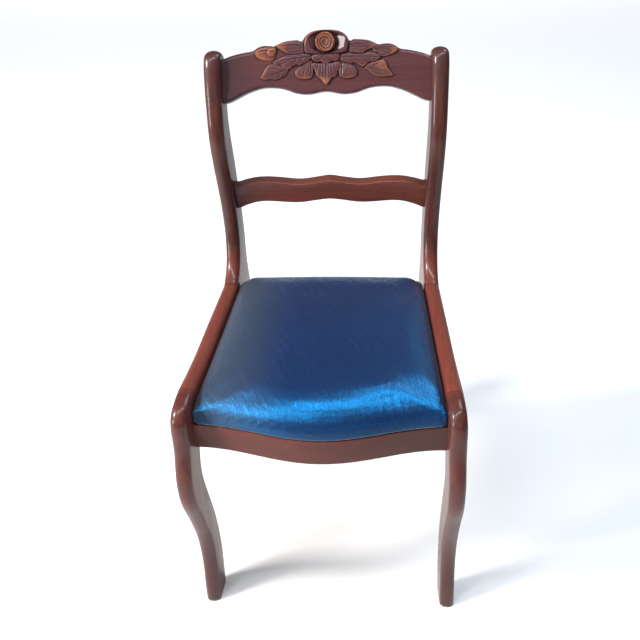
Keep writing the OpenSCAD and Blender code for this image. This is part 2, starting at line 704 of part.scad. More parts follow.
function side_screw_at(fore) =
    let (base = block_base(fore), y = base[1] + fore * block_screw_side)
    [side_in(y, block_screw_z()) - (block_len - block_screw_side) + block_screw_sink, y, block_screw_z()];
function rail_screw_at(fore) =
    let (base = block_base(fore), x = base[0] - block_screw_side)
    [x, block_y(fore, x) + fore * (block_len - block_screw_side - block_screw_sink), block_screw_z()];
function seat_screw_at(fore) =
    let (base = block_base(fore))
    [base[0] - seat_screw_in, base[1] + fore * seat_screw_in, seat_h - block_h + seat_screw_sink];

// A countersunk screw whose head's face is at the origin, pointing along +Z
module screw(len, gap = 0, head_run = 0) {
    cone = (screw_head_d - screw_d) / 2;
    cylinder(h = len + gap, d = screw_d + 2 * gap, $fn = cyl_facets);
    cylinder(h = cone, d1 = screw_head_d + 2 * gap, d2 = screw_d + 2 * gap, $fn = cyl_facets);
    if (head_run > 0)
        translate([0, 0, -head_run])
            cylinder(h = head_run, d = screw_head_d + 2 * gap, $fn = cyl_facets);
}

module slotted_screw(len) {
    difference() {
        screw(len);
        cube([screw_head_d + over, screw_slot_w, 2 * screw_slot_d], center = true);
    }
}

module at_side_screw(fore) {
    translate(side_screw_at(fore)) rotate([0, 90, 0]) children();
}

module at_rail_screw(fore) {
    translate(rail_screw_at(fore)) rotate([fore * 90, 0, 0]) children();
}

module at_seat_screw(fore) {
    translate(seat_screw_at(fore)) children();
}

module block_screw_bores() {
    for (fore = [1, -1]) {
        at_side_screw(fore) screw(block_screw_len, fit_gap, block_len);
        at_rail_screw(fore) screw(block_screw_len, fit_gap, block_len);
    }
}

// Plan of the drop-in seat, right half from the front middle round to the rear middle

seat_rear_y = rear_joint_y + seat_back;
function seat_front_y(x) = rail_front_y(x) + seat_setback;
function seat_side_x(y) =
    let (way = (y - seat_front_y(0)) / (seat_rear_y - seat_front_y(0)))
    side_in(y, seat_h) - seat_gap - seat_draw * sin(180 * min(1, max(0, way))) ^ 2;
seat_corner_x = leg_in([front_joint_y - front_rail_fore, seat_h]) - seat_gap;
seat_corner_y = seat_front_y(seat_corner_x);

function seat_half_plan() =
    let (
        fx = seat_corner_x - seat_front_r,
        fy = seat_corner_y + seat_front_r,
        rx = seat_side_x(seat_rear_y) - seat_rear_r,
        ry = seat_rear_y - seat_rear_r
    )
    concat(
        [for (k = [0:plan_end_points - 1])
            let (x = fx * (k + 0.5) / plan_end_points) [x, seat_front_y(x)]],
        [for (k = [0:plan_corner_points - 1])
            let (a = 90 * (k + 0.5) / plan_corner_points)
            [fx + seat_front_r * sin(a), fy - seat_front_r * cos(a)]],
        [for (k = [0:plan_side_points - 1])
            let (y = fy + (ry - fy) * (k + 0.5) / plan_side_points) [seat_side_x(y), y]],
        [for (k = [0:plan_corner_points - 1])
            let (a = 90 * (k + 0.5) / plan_corner_points)
            [rx + seat_rear_r * cos(a), ry + seat_rear_r * sin(a)]],
        [for (k = [0:plan_rear_points - 1])
            [rx * (1 - (k + 0.5) / plan_rear_points), seat_rear_y]]
    );
half_plan = seat_half_plan();
seat_plan = concat([for (q = half_plan) [-q[0], q[1]]], reversed(half_plan));
seat_middle = [0, (seat_front_y(0) + seat_rear_y) / 2];
seat_half_w = seat_corner_x;

// The seat's plan shrunk by a share towards its middle, and drawn in by a length, at height z
function seat_ring(share, in, z) =
    [for (q = seat_plan)
        let (p = seat_middle + (q - seat_middle) * share * (1 - in / seat_half_w))
        [p[0], p[1], z]];

seat_base_z = seat_h + cover_t;
cover_rise = board_t + pad_rise + 2 * cover_t;

function crown_ring(k, in, drop) =
    seat_ring(crown_shares[k][0], in, seat_h + crown_shares[k][1] * cover_rise - drop);

// Parts

module front_leg(side) {
    color(mahogany) on_side(side) difference() {
        sawn_board(leg_front, leg_rear, function (q) leg_in(q), function (q) leg_thick(q));
        side_dowel_bores(front_joint_y, fit_gap);
        front_rail_bores(fit_gap);
    }
}

module side_rail(side) {
    color(mahogany) on_side(side) difference() {
        sawn_board(rail_top, rail_low, function (q) rail_in(q), function (q) rail_thick(q));
        side_dowel_bores(front_joint_y, fit_gap);
        side_dowel_bores(rear_joint_y, fit_gap);
        for (fore = [1, -1]) at_side_screw(fore) screw(block_screw_len, fit_gap);
    }
}

module rear_post(side) {
    color(mahogany) on_side(side) difference() {
        sawn_board(
            concat(post_front_low, post_front_high), post_rear_line,
            function (q) post_in(q), function (q) post_thick(q));
        side_dowel_bores(rear_joint_y, fit_gap);
        rear_rail_bores(fit_gap);
        mid_rail_bores(fit_gap);
        crest_bores(fit_gap);
    }
}

module crest_rail() {
    color(carved_mahogany) difference() {
        loft([for (share = crest_stations) crest_ring(share)]);
        for (side = ["left", "right"]) on_side(side) crest_bores(fit_gap);
    }
}

module mid_rail() {
    color(mahogany) difference() {
        loft([for (k = [0:mid_stations]) mid_rail_ring(2 * k / mid_stations - 1)]);
        for (side = ["left", "right"]) on_side(side) mid_rail_bores(fit_gap);
    }
}

module front_seat_rail() {
    color(mahogany) difference() {
        loft([for (k = [0:front_stations]) front_rail_ring(2 * k / front_stations - 1)]);
        for (side = ["left", "right"]) on_side(side) {
            front_rail_bores(fit_gap);
            at_rail_screw(1) screw(block_screw_len, fit_gap);
        }
    }
}

module rear_seat_rail() {
    color(mahogany) difference() {
        loft([rear_rail_ring(-1), rear_rail_ring(1)]);
        for (side = ["left", "right"]) on_side(side) {
            rear_rail_bores(fit_gap);
            at_rail_screw(-1) screw(block_screw_len, fit_gap);
        }
    }
}

module corner_block(side, fore) {
    color(bare_wood) on_side(side) difference() {
        translate([0, 0, seat_h - block_h])
            linear_extrude(height = block_h) polygon(block_plan(fore));
        block_screw_bores();
        at_seat_screw(fore) screw(seat_screw_len, fit_gap, block_h);
    }
}

module both_sides() {
    for (side = ["left", "right"]) on_side(side) children();
}

module corner_block_screws() {
    color(steel) both_sides() for (fore = [1, -1]) {
        at_side_screw(fore) slotted_screw(block_screw_len);
        at_rail_screw(fore) slotted_screw(block_screw_len);
    }
}

module seat_screws() {
    color(steel) both_sides() for (fore = [1, -1])
        at_seat_screw(fore) slotted_screw(seat_screw_len);
}

module seat_board() {
    color(bare_wood) difference() {
        translate([0, 0, seat_base_z + fit_gap])
            linear_extrude(height = board_t - fit_gap)
                polygon([for (p = seat_ring(1, cover_t + fit_gap, 0)) [p[0], p[1]]]);
        both_sides() for (fore = [1, -1])
            at_seat_screw(fore) screw(seat_screw_len, fit_gap);
        at_tacks() tack_shank(fit_gap);
    }
}

module seat_padding() {
    in = cover_t + fit_gap;
    base = seat_base_z + board_t + fit_gap;
    color(padding_white) loft(concat(
        [seat_ring(1, in, base)],
        [for (k = [1:len(crown_shares) - 1]) crown_ring(k, in, cover_t + fit_gap)]));
}

module seat_cover() {
    last = len(crown_shares) - 1;
    hem_share = 1 - hem_w / seat_half_w;
    color(cover_blue) difference() {
        loft(concat(
            [for (k = [last:-1:1]) crown_ring(k, cover_t, cover_t)],
            [seat_ring(1, cover_t, seat_base_z)],
            [seat_ring(hem_share, 0, seat_base_z)],
            [seat_ring(hem_share, 0, seat_h)],
            [for (k = [0:last]) crown_ring(k, 0, 0)]));
        both_sides() for (fore = [1, -1])
            at_seat_screw(fore) screw(seat_screw_len, fit_gap);
        at_tacks() tack_shank(fit_gap);
    }
}

// A cut tack: a round head below and a square tapered shank
module tack() {
    translate([0, 0, -tack_head_t]) cylinder(h = tack_head_t, r = tack_head_r, $fn = cyl_facets);
    tack_shank(0);
}

module tack_shank(gap) {
    translate([0, 0, -over * gap])
        cylinder(h = tack_len + gap, r1 = tack_shank_r + 2 * gap, r2 = tack_shank_r / 2 + gap, $fn = 4);
}

module at_tacks() {
    for (share = tack_shares) {
        x = share * seat_corner_x;
        translate([x, seat_front_y(x) + tack_in, seat_h]) children();
        translate([share * seat_side_x(seat_rear_y), seat_rear_y - tack_in, seat_h]) children();
    }
    both_sides() for (share = side_tack_shares) {
        y = seat_front_y(0) + share * (seat_rear_y - seat_front_y(0));
        translate([seat_side_x(y) - tack_in, y, seat_h]) children();
    }
}

module cover_tacks() {
    color(steel) at_tacks() tack();
}

module side_joint_dowels(joint_y) {
    color(dowel_wood) both_sides() side_dowel_bores(joint_y, 0);
}

front_leg("left");  // front_leg_left
front_leg("right");  // front_leg_right
rear_post("left");  // rear_post_left
rear_post("right");  // rear_post_right
side_rail("left");  // side_rail_left
side_rail("right");  // side_rail_right
crest_rail();
mid_rail();
front_seat_rail();
rear_seat_rail();
corner_block("left", 1);  // corner_block_front_left
corner_block("right", 1);  // corner_block_front_right
corner_block("left", -1);  // corner_block_rear_left
corner_block("right", -1);  // corner_block_rear_right
color(dowel_wood) both_sides() crest_bores(0);  // crest_dowels
color(dowel_wood) both_sides() mid_rail_bores(0);  // mid_rail_dowels
color(dowel_wood) both_sides() front_rail_bores(0);  // front_rail_dowels
color(dowel_wood) both_sides() rear_rail_bores(0);  // rear_rail_dowels
side_joint_dowels(front_joint_y);  // side_rail_front_dowels
side_joint_dowels(rear_joint_y);  // side_rail_rear_dowels
corner_block_screws();
seat_screws();
seat_board();
seat_padding();
seat_cover();
cover_tacks();
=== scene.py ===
from math import ceil, cos, pi, radians, sin, sqrt
import bpy
import numpy as np
from numpy.linalg import norm
from mathutils import Matrix, Vector


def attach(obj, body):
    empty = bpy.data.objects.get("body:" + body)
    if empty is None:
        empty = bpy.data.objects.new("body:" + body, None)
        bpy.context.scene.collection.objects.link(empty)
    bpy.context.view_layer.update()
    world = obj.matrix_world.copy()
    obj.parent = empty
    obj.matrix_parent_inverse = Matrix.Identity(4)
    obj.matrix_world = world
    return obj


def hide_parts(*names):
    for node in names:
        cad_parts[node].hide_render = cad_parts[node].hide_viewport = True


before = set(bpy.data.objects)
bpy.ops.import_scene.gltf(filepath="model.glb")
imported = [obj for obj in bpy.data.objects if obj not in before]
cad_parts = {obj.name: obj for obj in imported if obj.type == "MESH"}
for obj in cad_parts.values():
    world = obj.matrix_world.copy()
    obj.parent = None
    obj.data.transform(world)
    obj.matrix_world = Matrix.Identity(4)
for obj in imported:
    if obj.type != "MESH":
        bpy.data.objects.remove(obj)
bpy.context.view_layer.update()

MM = 0.001
scene = bpy.context.scene

# Sizes in mm and shares, as in the CAD source
RAIL_REAR_H = 445.0
SHOULDER_H = 455.0
RAIL_LOW_H = 384.0
SEAT_H = 407.5
RAIL_LEN = 293.0
KNEE_REACH = 80.5
HEEL_REACH = 160.0
FRONT_JOINT_W = 433.0
REAR_INNER_W = 331.0
LEG_T = 26.0
LEG_TAPER = 2.0
LEG_TOE_IN = 4.0
POST_T = 25.0
POST_SWELL = 2.6
POST_LEAN = 16.5
ROUND_D = 8.5
EASE_R = 2.5
BACK_H = 377.0
CREST_H = 108.4
CREST_T = 22.0
CREST_TILT = radians(28)
MID_RAIL_H = 36.0
MID_RAIL_T = 24.0
FRONT_RAIL_H = 46.5
FRONT_RAIL_T = 21.0
FRONT_BOW = 33.3
FRONT_RAIL_FORE = 30.3
RAIL_EASE = 1.5
MID_EASE = 3.0
BOARD_T = 11.0
PAD_RISE = 41.0
COVER_T = 1.0
HEM_W = 32.0
SEAT_GAP = 1.0
SEAT_SETBACK = 0.5
SEAT_BACK = 34.0
SEAT_REAR_R = 26.0
SEAT_FRONT_R = 9.0
SEAT_DRAW = 1.2
TOTAL_DEPTH = KNEE_REACH + RAIL_LEN + HEEL_REACH
FRONT_Y = KNEE_REACH - TOTAL_DEPTH / 2
REAR_Y = FRONT_Y + RAIL_LEN


def per_mille(*flat):
    """Points of an outline, given in thousandths of its width and height."""
    return np.array(flat).reshape(-1, 2) / 1000


LEG_FRONT = per_mille(
    -596, 0, -584, 42, -540, 94, -492, 147, -458, 200, -452, 252, -478, 315, -538, 372, -628, 428,
    -730, 486, -830, 535, -925, 582, -985, 630, -1000, 680, -980, 728, -910, 775, -825, 824,
    -785, 876, -765, 918, -700, 957, -530, 985, -280, 997, 0, 1000)
LEG_REAR = per_mille(
    -35, 0, 5, 45, 55, 100, 95, 158, 112, 215, 106, 270, 80, 325, 48, 370, 10, 410, -45, 455,
    -105, 500, -165, 545, -225, 590, -268, 633, -282, 675, -257, 713, -205, 748, -135, 785)
RAIL_TOP = per_mille(
    0, 0, 150, 420, 310, 750, 480, 850, 650, 850, 810, 930, 1000, 1000)
RAIL_ARCH = 3.0
POST_FRONT = per_mille(
    0, 0, 55, 9, 128, 27, 222, 65, 292, 115, 346, 175, 372, 237, 383, 298, 384, 364, 376, 443,
    366, 518, 365, 587, 375, 648, 403, 706, 440, 759, 482, 813, 525, 865, 575, 916, 630, 962,
    687, 990, 750, 1000)
POST_LOW = per_mille(
    770, 0, 705, 110, 635, 230, 560, 360, 482, 500, 404, 640, 335, 770, 268, 870, 165, 955, 0, 1000)
POST_REAR_LOW = per_mille(
    1000, 0, 945, 100, 882, 210, 812, 330, 740, 460, 672, 590, 612, 720, 566, 840, 541, 940)
POST_REAR_HIGH = per_mille(
    534, -82, 544, -10, 572, 57, 606, 118, 631, 185, 644, 257, 651, 329, 658, 401, 664, 473,
    663, 545, 660, 612, 667, 674, 692, 733, 736, 787, 787, 839, 840, 888, 878, 928, 874, 966,
    829, 992, 765, 1000)
REAR_THUMB = [0] * 16 + [0.2, 0.6, 1, 1]
CREST_TOP = per_mille(
    0, 1000, 60, 998, 115, 985, 165, 950, 200, 900, 219, 850, 236, 835, 270, 856, 340, 852,
    400, 838, 450, 808, 495, 776, 540, 780, 600, 782, 650, 760, 690, 720, 720, 703, 780, 690,
    840, 672, 900, 650, 950, 625, 1000, 598)
CREST_LOW = per_mille(
    0, 98, 60, 88, 120, 68, 190, 58, 290, 78, 360, 115, 420, 145, 510, 164, 610, 160, 690, 130,
    770, 85, 850, 25, 920, -30, 960, -52, 1000, -60)
MID_TOP = per_mille(
    0, 915, 130, 830, 270, 735, 360, 730, 460, 785, 570, 840, 670, 863, 780, 835, 890, 730,
    1000, 605)
MID_LOW = per_mille(
    0, -105, 130, -165, 270, -265, 360, -290, 460, -270, 570, -230, 680, -205, 790, -265, 900, -425,
    1000, -600)
CREST_FOOT = np.array([REAR_Y + 0.564 * HEEL_REACH, RAIL_REAR_H + 0.816 * BACK_H])
MID_Y = REAR_Y + 0.485 * HEEL_REACH
MID_Z = RAIL_REAR_H + 0.342 * BACK_H


# Curves

def hermite(w, a, b, slope_a, slope_b):
    return ((2 * w**3 - 3 * w**2 + 1) * a + (w**3 - 2 * w**2 + w) * slope_a
            + (3 * w**2 - 2 * w**3) * b + (w**3 - w**2) * slope_b)


def smooth_line(table, first, last, n):
    """Points, directions and thumb-round shares along a smooth line through a table's points."""
    p, share = table[:, :2], table[:, 2]
    step = np.diff(p, axis=0)
    chord = norm(step, axis=1)
    head = np.empty_like(p)
    head[0], head[-1] = first, last
    b, f = chord[:-1, None], chord[1:, None]
    head[1:-1] = (step[:-1] / b * f + step[1:] / f * b) / (b + f)
    t = np.linspace(0, len(p) - 1, n)
    i = np.minimum(t.astype(int), len(p) - 2)
    w = (t - i)[:, None]
    m0, m1 = head[i] * chord[i][:, None], head[i + 1] * chord[i][:, None]
    place = hermite(w, p[i], p[i + 1], m0, m1)
    way = ((6 * w**2 - 6 * w) * p[i] + (3 * w**2 - 4 * w + 1) * m0
           + (6 * w - 6 * w**2) * p[i + 1] + (3 * w**2 - 2 * w) * m1)
    way /= norm(way, axis=1)[:, None]
    w = w[:, 0]
    return place, way, share[i] * (1 - w) + share[i + 1] * w


def curve_at(k, x):
    slope = np.zeros(len(k))
    slope[1:-1] = (k[2:, 1] - k[:-2, 1]) / (k[2:, 0] - k[:-2, 0])
    i = np.clip(np.searchsorted(k[:, 0], x, side="left") - 1, 0, len(k) - 2)
    h = k[i + 1, 0] - k[i, 0]
    return hermite((x - k[i, 0]) / h, k[i, 1], k[i + 1, 1], slope[i] * h, slope[i + 1] * h)


def smoothstep(low, high, x):
    t = np.clip((x - low) / (high - low), 0, 1)
    return t * t * (3 - 2 * t)


def blurred(grid, width):
    reach = ceil(3 * width)
    kernel = np.exp(-0.5 * (np.arange(-reach, reach + 1) / width) ** 2)
    kernel /= kernel.sum()
    for axis in (0, 1):
        pad = [(0, 0), (0, 0)]
        pad[axis] = (reach, reach)
        wide = np.pad(grid, pad, mode="edge")
        grid = np.apply_along_axis(lambda line: np.convolve(line, kernel, "valid"), axis, wide)
    return grid


# Faces of the side frames, as part.scad has them

FRONT_IN = FRONT_JOINT_W / 2 - LEG_T
SLANT = (FRONT_IN - REAR_INNER_W / 2) / RAIL_LEN


def post_in(y, z):
    return REAR_INNER_W / 2 - SLANT * (y - REAR_Y) + POST_LEAN * (z - RAIL_REAR_H) / BACK_H


def post_thick(_, z):
    return POST_T + POST_SWELL * (z - RAIL_REAR_H) / BACK_H


def leg_in(y, z):
    return FRONT_IN + SLANT * (FRONT_Y - y) - (LEG_TOE_IN - LEG_TAPER) * (1 - z / SHOULDER_H)


def leg_thick(_, z):
    return LEG_T - LEG_TAPER * (1 - z / SHOULDER_H)


def rail_in(y, z):
    way = (y - FRONT_Y) / RAIL_LEN
    return leg_in(FRONT_Y, z) * (1 - way) + post_in(REAR_Y, z) * way


def rail_thick(y, z):
    way = (y - FRONT_Y) / RAIL_LEN
    return leg_thick(y, z) * (1 - way) + post_thick(y, z) * way


def side_in(y, z):
    y, z = np.broadcast_arrays(y, z)
    return np.where(y < FRONT_Y, leg_in(y, z), np.where(y < REAR_Y, rail_in(y, z), post_in(y, z)))


def rail_front_y(x):
    half = leg_in(FRONT_Y - FRONT_RAIL_FORE, SEAT_H)
    return FRONT_Y - FRONT_RAIL_FORE - FRONT_BOW / 2 * (1 + np.cos(np.pi * x / half))


# Meshes

def linked(name, data):
    obj = bpy.data.objects.new(name, data)
    scene.collection.objects.link(obj)
    return obj


def mesh_of(name, verts_mm, faces):
    mesh = bpy.data.meshes.new(name)
    mesh.from_pydata((np.asarray(verts_mm) * MM).tolist(), [], faces)
    mesh.update()
    return mesh


def dressed(obj, material):
    obj.data.materials.clear()
    obj.data.materials.append(material)


def piece(name, verts_mm, faces, material, sharp=38.0, fields=None):
    """New piece of the chair, smooth up to an angle in degrees, with fields on its points."""
    mesh = mesh_of(name, verts_mm, faces)
    mesh.validate()
    mesh.shade_smooth()
    mesh.set_sharp_from_angle(angle=radians(sharp))
    for key, values in (fields or {}).items():
        layer = mesh.attributes.new(key, "FLOAT", "POINT")
        layer.data.foreach_set("value", np.asarray(values, np.float32))
    obj = linked(name, mesh)
    dressed(obj, material)
    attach(obj, "root")
    return obj


def ring_faces(rings, count):
    k, i = np.meshgrid(np.arange(rings - 1), np.arange(count), indexing="ij")
    a = k * count + i
    b = k * count + (i + 1) % count
    return np.stack([a, b, b + count, a + count], axis=-1).reshape(-1, 4).tolist()


def end_caps(rings, count):
    return [list(range(count))[::-1], [(rings - 1) * count + i for i in range(count)]]


def strip_caps(rings, count):
    half, last = count // 2, (rings - 1) * count
    faces = []
    for i in range(half - 1):
        j = count - 1 - i
        faces += [[i, j, j - 1, i + 1], [last + i, last + i + 1, last + j - 1, last + j]]
    return faces


# Layers of a board through its thickness, as angles round its edge
FROM_MIDDLE = np.radians([9, 18, 27, 36, 45, 54, 62, 70, 77, 84, 90])
LAYERS = [*-FROM_MIDDLE[::-1], 0, *FROM_MIDDLE]


def drawn_in(angle, share):
    """How far a board's edge is drawn in at a layer."""
    thumb = ROUND_D * (1 - cos(angle))
    from_face = LEG_T / 2 * (1 - abs(sin(angle)))
    eased = 0 if from_face >= EASE_R else EASE_R - sqrt(EASE_R**2 - (EASE_R - from_face) ** 2)
    return share * thumb + (1 - share) * eased


def unfolded(line, place):
    """Holds back points of an inward offset that ran past their neighbours at a tight bend."""
    out = place.copy()
    for _ in range(60):
        along = np.einsum("ij,ij->i", np.diff(out, axis=0), np.diff(line, axis=0))
        folded = np.where(along < 0)[0]
        if not len(folded):
            break
        for i in np.unique(np.clip(np.concatenate([folded - 1, folded, folded + 1, folded + 2]),
                                   1, len(out) - 2)):
            out[i] = (out[i - 1] + out[i + 1]) / 2
    return out


def board_line(line, other, turn, angle, inner, thick):
    """One edge of a board at a layer, as x, y, z points."""
    place, way, share = line
    inward = turn * np.stack([way[:, 1], -way[:, 0]], axis=1)
    for i in (0, -1):
        to_other = other[0][i] - place[i]
        if norm(to_other) > LEG_T / 2:
            inward[i] = to_other / norm(to_other)
    depth = np.array([drawn_in(angle, s) for s in share])
    q = unfolded(place, place + inward * depth[:, None])
    x = inner(q[:, 0], q[:, 1]) + thick(q[:, 0], q[:, 1]) / 2 * (1 + sin(angle))
    return np.column_stack([x, q])


def sawn_board(name, side, lines, inner, thick, material):
    """Board of a side frame, from its outline at each layer."""
    front, rear = lines
    node = f"{name}_{side}"
    rings = []
    for angle in LAYERS:
        a = board_line(front, rear, 1, angle, inner, thick)
        b = board_line(rear, front, -1, angle, inner, thick)
        rings.append(np.vstack([a, b[::-1]]))
    count = len(rings[0])
    verts = np.vstack(rings)
    faces = ring_faces(len(rings), count) + strip_caps(len(rings), count)
    if side == "left":
        verts[:, 0] *= -1
    else:
        faces = [f[::-1] for f in faces]
    obj = piece(f"{node}_sawn", verts, faces, material)
    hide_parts(node)


def knots(table, y0, dy, z0, dz, thumb=0):
    """Scaled points of an outline, each with its edge's share of the thumb-round."""
    return np.column_stack([y0 + table[:, 0] * dy, z0 + table[:, 1] * dz,
                            np.broadcast_to(thumb, len(table))])


def leg_lines(n=217):
    front = knots(LEG_FRONT, FRONT_Y, KNEE_REACH, 0, SHOULDER_H, 1)
    rear = np.vstack([knots(LEG_REAR, FRONT_Y, KNEE_REACH, 0, SHOULDER_H),
                      [FRONT_Y, RAIL_LOW_H, 0]])
    return [smooth_line(line, (0, 1), (1, 0), n) for line in (front, rear)]


def rail_lines(n=121):
    top = knots(RAIL_TOP, FRONT_Y, RAIL_LEN, SHOULDER_H, RAIL_REAR_H - SHOULDER_H, 1)
    k = np.linspace(0, 1, 5)
    arch = RAIL_ARCH * np.sin(np.pi * k)
    low = np.column_stack([FRONT_Y + k * RAIL_LEN, RAIL_LOW_H + arch, 0 * k])
    return [smooth_line(line, (1, 0), (1, 0), n) for line in (top, low)]


def post_lines(low=91, high=217):
    first = smooth_line(knots(POST_LOW, REAR_Y, HEEL_REACH, 0, RAIL_LOW_H, 0.5),
                        (-0.29, 0.957), (-1, 0), low)
    second = smooth_line(knots(POST_FRONT, REAR_Y, HEEL_REACH, RAIL_REAR_H, BACK_H, 1),
                         (1, 0), (1, 0), high)
    front = [np.concatenate(pair) for pair in zip(first, second)]
    rear = np.vstack([knots(POST_REAR_LOW, REAR_Y, HEEL_REACH, 0, RAIL_LOW_H),
                      knots(POST_REAR_HIGH, REAR_Y, HEEL_REACH, RAIL_REAR_H, BACK_H, REAR_THUMB)])
    return front, smooth_line(rear, (-0.22, 0.976), (-1, 0), low + high)


def eased_box(low, high, near, far, r, steps=5):
    """Section of a rail with rounded long edges, as [depth, height] points going round."""
    out = []
    for cy, cz, start in ((near + r, low + r, 270), (near + r, high - r, 180),
                          (far - r, high - r, 90), (far - r, low + r, 0)):
        for k in range(steps + 1):
            a = radians(start - 90 * k / steps)
            out.append([cy + r * cos(a), cz + r * sin(a)])
    return np.array(out)


def lofted_rail(name, shares, section, inner, material, node):
    rings = []
    for share in shares:
        q = section(share)
        rings.append(np.column_stack([share * inner(q[:, 0], q[:, 1]), q]))
    count = len(rings[0])
    faces = ring_faces(len(rings), count) + end_caps(len(rings), count)
    obj = piece(name, np.vstack(rings), [f[::-1] for f in faces], material)
    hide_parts(node)


# Crest rail: x across, v up the leaning board, n out of its front face

def crest_point(share, v, n):
    y = CREST_FOOT[0] + v * sin(CREST_TILT) - n * cos(CREST_TILT)
    z = CREST_FOOT[1] + v * cos(CREST_TILT) + n * sin(CREST_TILT)
    return np.stack([share * post_in(y, z), y, z], axis=-1)


# Carved leaves: height in mm at root and tip, how bare worn, and where, as x, v and radius in mm,
# then in tenths of a mm the outline as x, v pairs, and the veins, each with root, tip and bend
LEAVES = [
    (2.6, 4.2, 0.75, (92, 50, 16),
     [644, 471, 691, 535, 786, 564, 883, 588, 947, 589, 988, 536, 1006, 477, 1044, 416, 1099, 342,
      1004, 319, 903, 318, 806, 334, 742, 377, 694, 426],
     [660, 468, 1060, 352, 15, 760, 475, 945, 560, 12, 840, 450, 995, 470, 10,
      760, 430, 810, 360, -10, 860, 405, 920, 338, -10]),
    (2.4, 4, 0.45, (40, 34, 9),
     [240, 543, 333, 549, 418, 526, 482, 474, 519, 414, 510, 357, 458, 317, 376, 304, 295, 310,
      226, 350, 208, 420, 225, 490],
     [260, 530, 265, 370, 10, 280, 535, 315, 335, 10, 310, 535, 380, 330, 10,
      340, 530, 445, 355, 10, 370, 520, 490, 410, 10]),
    (2.6, 4, 0.5, (-34, 34, 10),
     [-226, 597, -202, 522, -193, 435, -210, 344, -255, 307, -378, 302, -469, 332, -500, 389,
      -487, 446, -445, 492, -371, 538, -293, 576],
     [-250, 555, -235, 370, 10, -265, 550, -300, 335, 10, -290, 550, -365, 330, -10,
      -320, 540, -435, 360, -10, -350, 525, -475, 415, -10]),
    (2.8, 4.2, 0.4, (-98, 42, 10),
     [-1070, 335, -1033, 402, -991, 477, -932, 539, -846, 553, -739, 532, -642, 500, -605, 460,
      -635, 391, -687, 346, -747, 316, -825, 293, -912, 306, -994, 296],
     [-630, 474, -1040, 343, 20, -720, 485, -907, 522, -12, -820, 460, -990, 450, -10,
      -720, 445, -788, 324, 10, -820, 410, -880, 324, 10]),
    (3.2, 4.6, 0.3, (62, 51, 8),
     [240, 632, 261, 681, 334, 705, 423, 698, 524, 692, 625, 701, 705, 719, 790, 700, 869, 669,
      893, 624, 844, 572, 774, 551, 715, 556, 691, 533, 624, 489, 555, 502, 505, 536, 455, 547,
      415, 530, 378, 539, 313, 564, 248, 592],
     [255, 639, 860, 624, 15, 400, 645, 580, 680, 10, 550, 648, 725, 698, 10,
      380, 635, 485, 560, -10, 470, 640, 621, 520, -14, 600, 642, 755, 570, -10]),
    (3.2, 4.6, 0.3, (-62, 50, 9),
     [-217, 660, -291, 709, -410, 702, -516, 696, -614, 690, -717, 653, -816, 610, -863, 560,
      -801, 525, -745, 530, -703, 501, -632, 464, -565, 476, -539, 506, -465, 531, -415, 519,
      -355, 540, -268, 586],
     [-231, 650, -830, 568, -20, -360, 648, -510, 682, -10, -500, 635, -660, 660, -10,
      -360, 635, -425, 555, 10, -460, 625, -601, 499, 14, -580, 610, -730, 535, 10]),
    (2.8, 4.2, 0.75, (112, 77, 11),
     [772, 794, 853, 835, 933, 860, 1027, 860, 1113, 842, 1173, 810, 1195, 766, 1162, 725,
      1104, 686, 1028, 655, 947, 637, 880, 647, 846, 691, 786, 721],
     [802, 756, 1150, 782, 14, 840, 785, 1083, 830, 12, 840, 740, 1120, 730, 6,
      870, 715, 1044, 682, 6]),
    (2.2, 3.9, 0.95, (-105, 71, 16),
     [-812, 822, -902, 828, -1001, 819, -1088, 796, -1144, 758, -1155, 721, -1122, 661, -1050, 619,
      -964, 604, -870, 606, -826, 650, -805, 739],
     [-940, 765, -1120, 730, -10, -950, 720, -1085, 665, -10, -950, 675, -997, 624, 6]),
    (3.9, 5, 0.95, (-89, 74, 9),
     [-808, 800, -866, 812, -932, 793, -963, 741, -942, 689, -889, 663, -834, 678, -806, 734],
     [-830, 755, -926, 744, 6]),
    (2.6, 4.8, 0.6, (78, 85, 10),
     [393, 924, 500, 929, 621, 922, 722, 906, 808, 882, 846, 839, 804, 789, 738, 762, 671, 742,
      625, 698, 540, 693, 475, 710, 391, 730],
     [405, 834, 810, 844, 10, 410, 880, 740, 880, 12, 410, 795, 710, 790, -8,
      420, 760, 620, 733, -8]),
    (2.6, 4.8, 0.7, (-71, 84, 12),
     [-340, 930, -452, 920, -574, 912, -697, 894, -774, 864, -808, 825, -741, 775, -675, 737,
      -614, 703, -516, 688, -414, 696, -338, 719],
     [-351, 834, -775, 826, -10, -360, 880, -700, 866, -12, -360, 793, -690, 772, 8,
      -370, 755, -590, 724, 8]),
    (3, 5, 0.9, (0.5, 26, 10),
     [-206, 564, -110, 555, -8, 555, 98, 560, 215, 572, 246, 510, 229, 445, 196, 410, 182, 355,
      135, 322, 96, 313, 65, 256, 9, 202, -45, 248, -88, 306, -136, 339, -164, 399, -184, 444,
      -220, 510],
     [10, 550, 10, 236, 0, -35, 550, -41, 295, 5, -80, 550, -91, 341, 8, -125, 550, -145, 410, 8,
      55, 550, 61, 295, -5, 100, 550, 120, 342, -8, 145, 550, 183, 420, -8]),
    (4.2, 5.2, 0.25, (0, 57, 8),
     [-227, 664, -149, 705, -7, 715, 115, 712, 220, 720, 242, 667, 230, 618, 181, 570, 125, 580,
      92, 566, 33, 539, -49, 551, -85, 573, -130, 562, -213, 593],
     [-20, 688, -125, 586, 8, -60, 688, -190, 620, 8, 20, 688, 94, 584, -8, 60, 688, 200, 620, -8]),
]
HOOD = [
    -332, 712, -349, 770, -354, 858, -334, 946, -288, 1008, -206, 1056, -104, 1082, 8, 1090,
    118, 1084, 219, 1064, 300, 1032, 352, 984, 380, 922, 386, 855, 374, 780, 340, 726, 257, 700,
    115, 690, -7, 686, -149, 690, -250, 694]
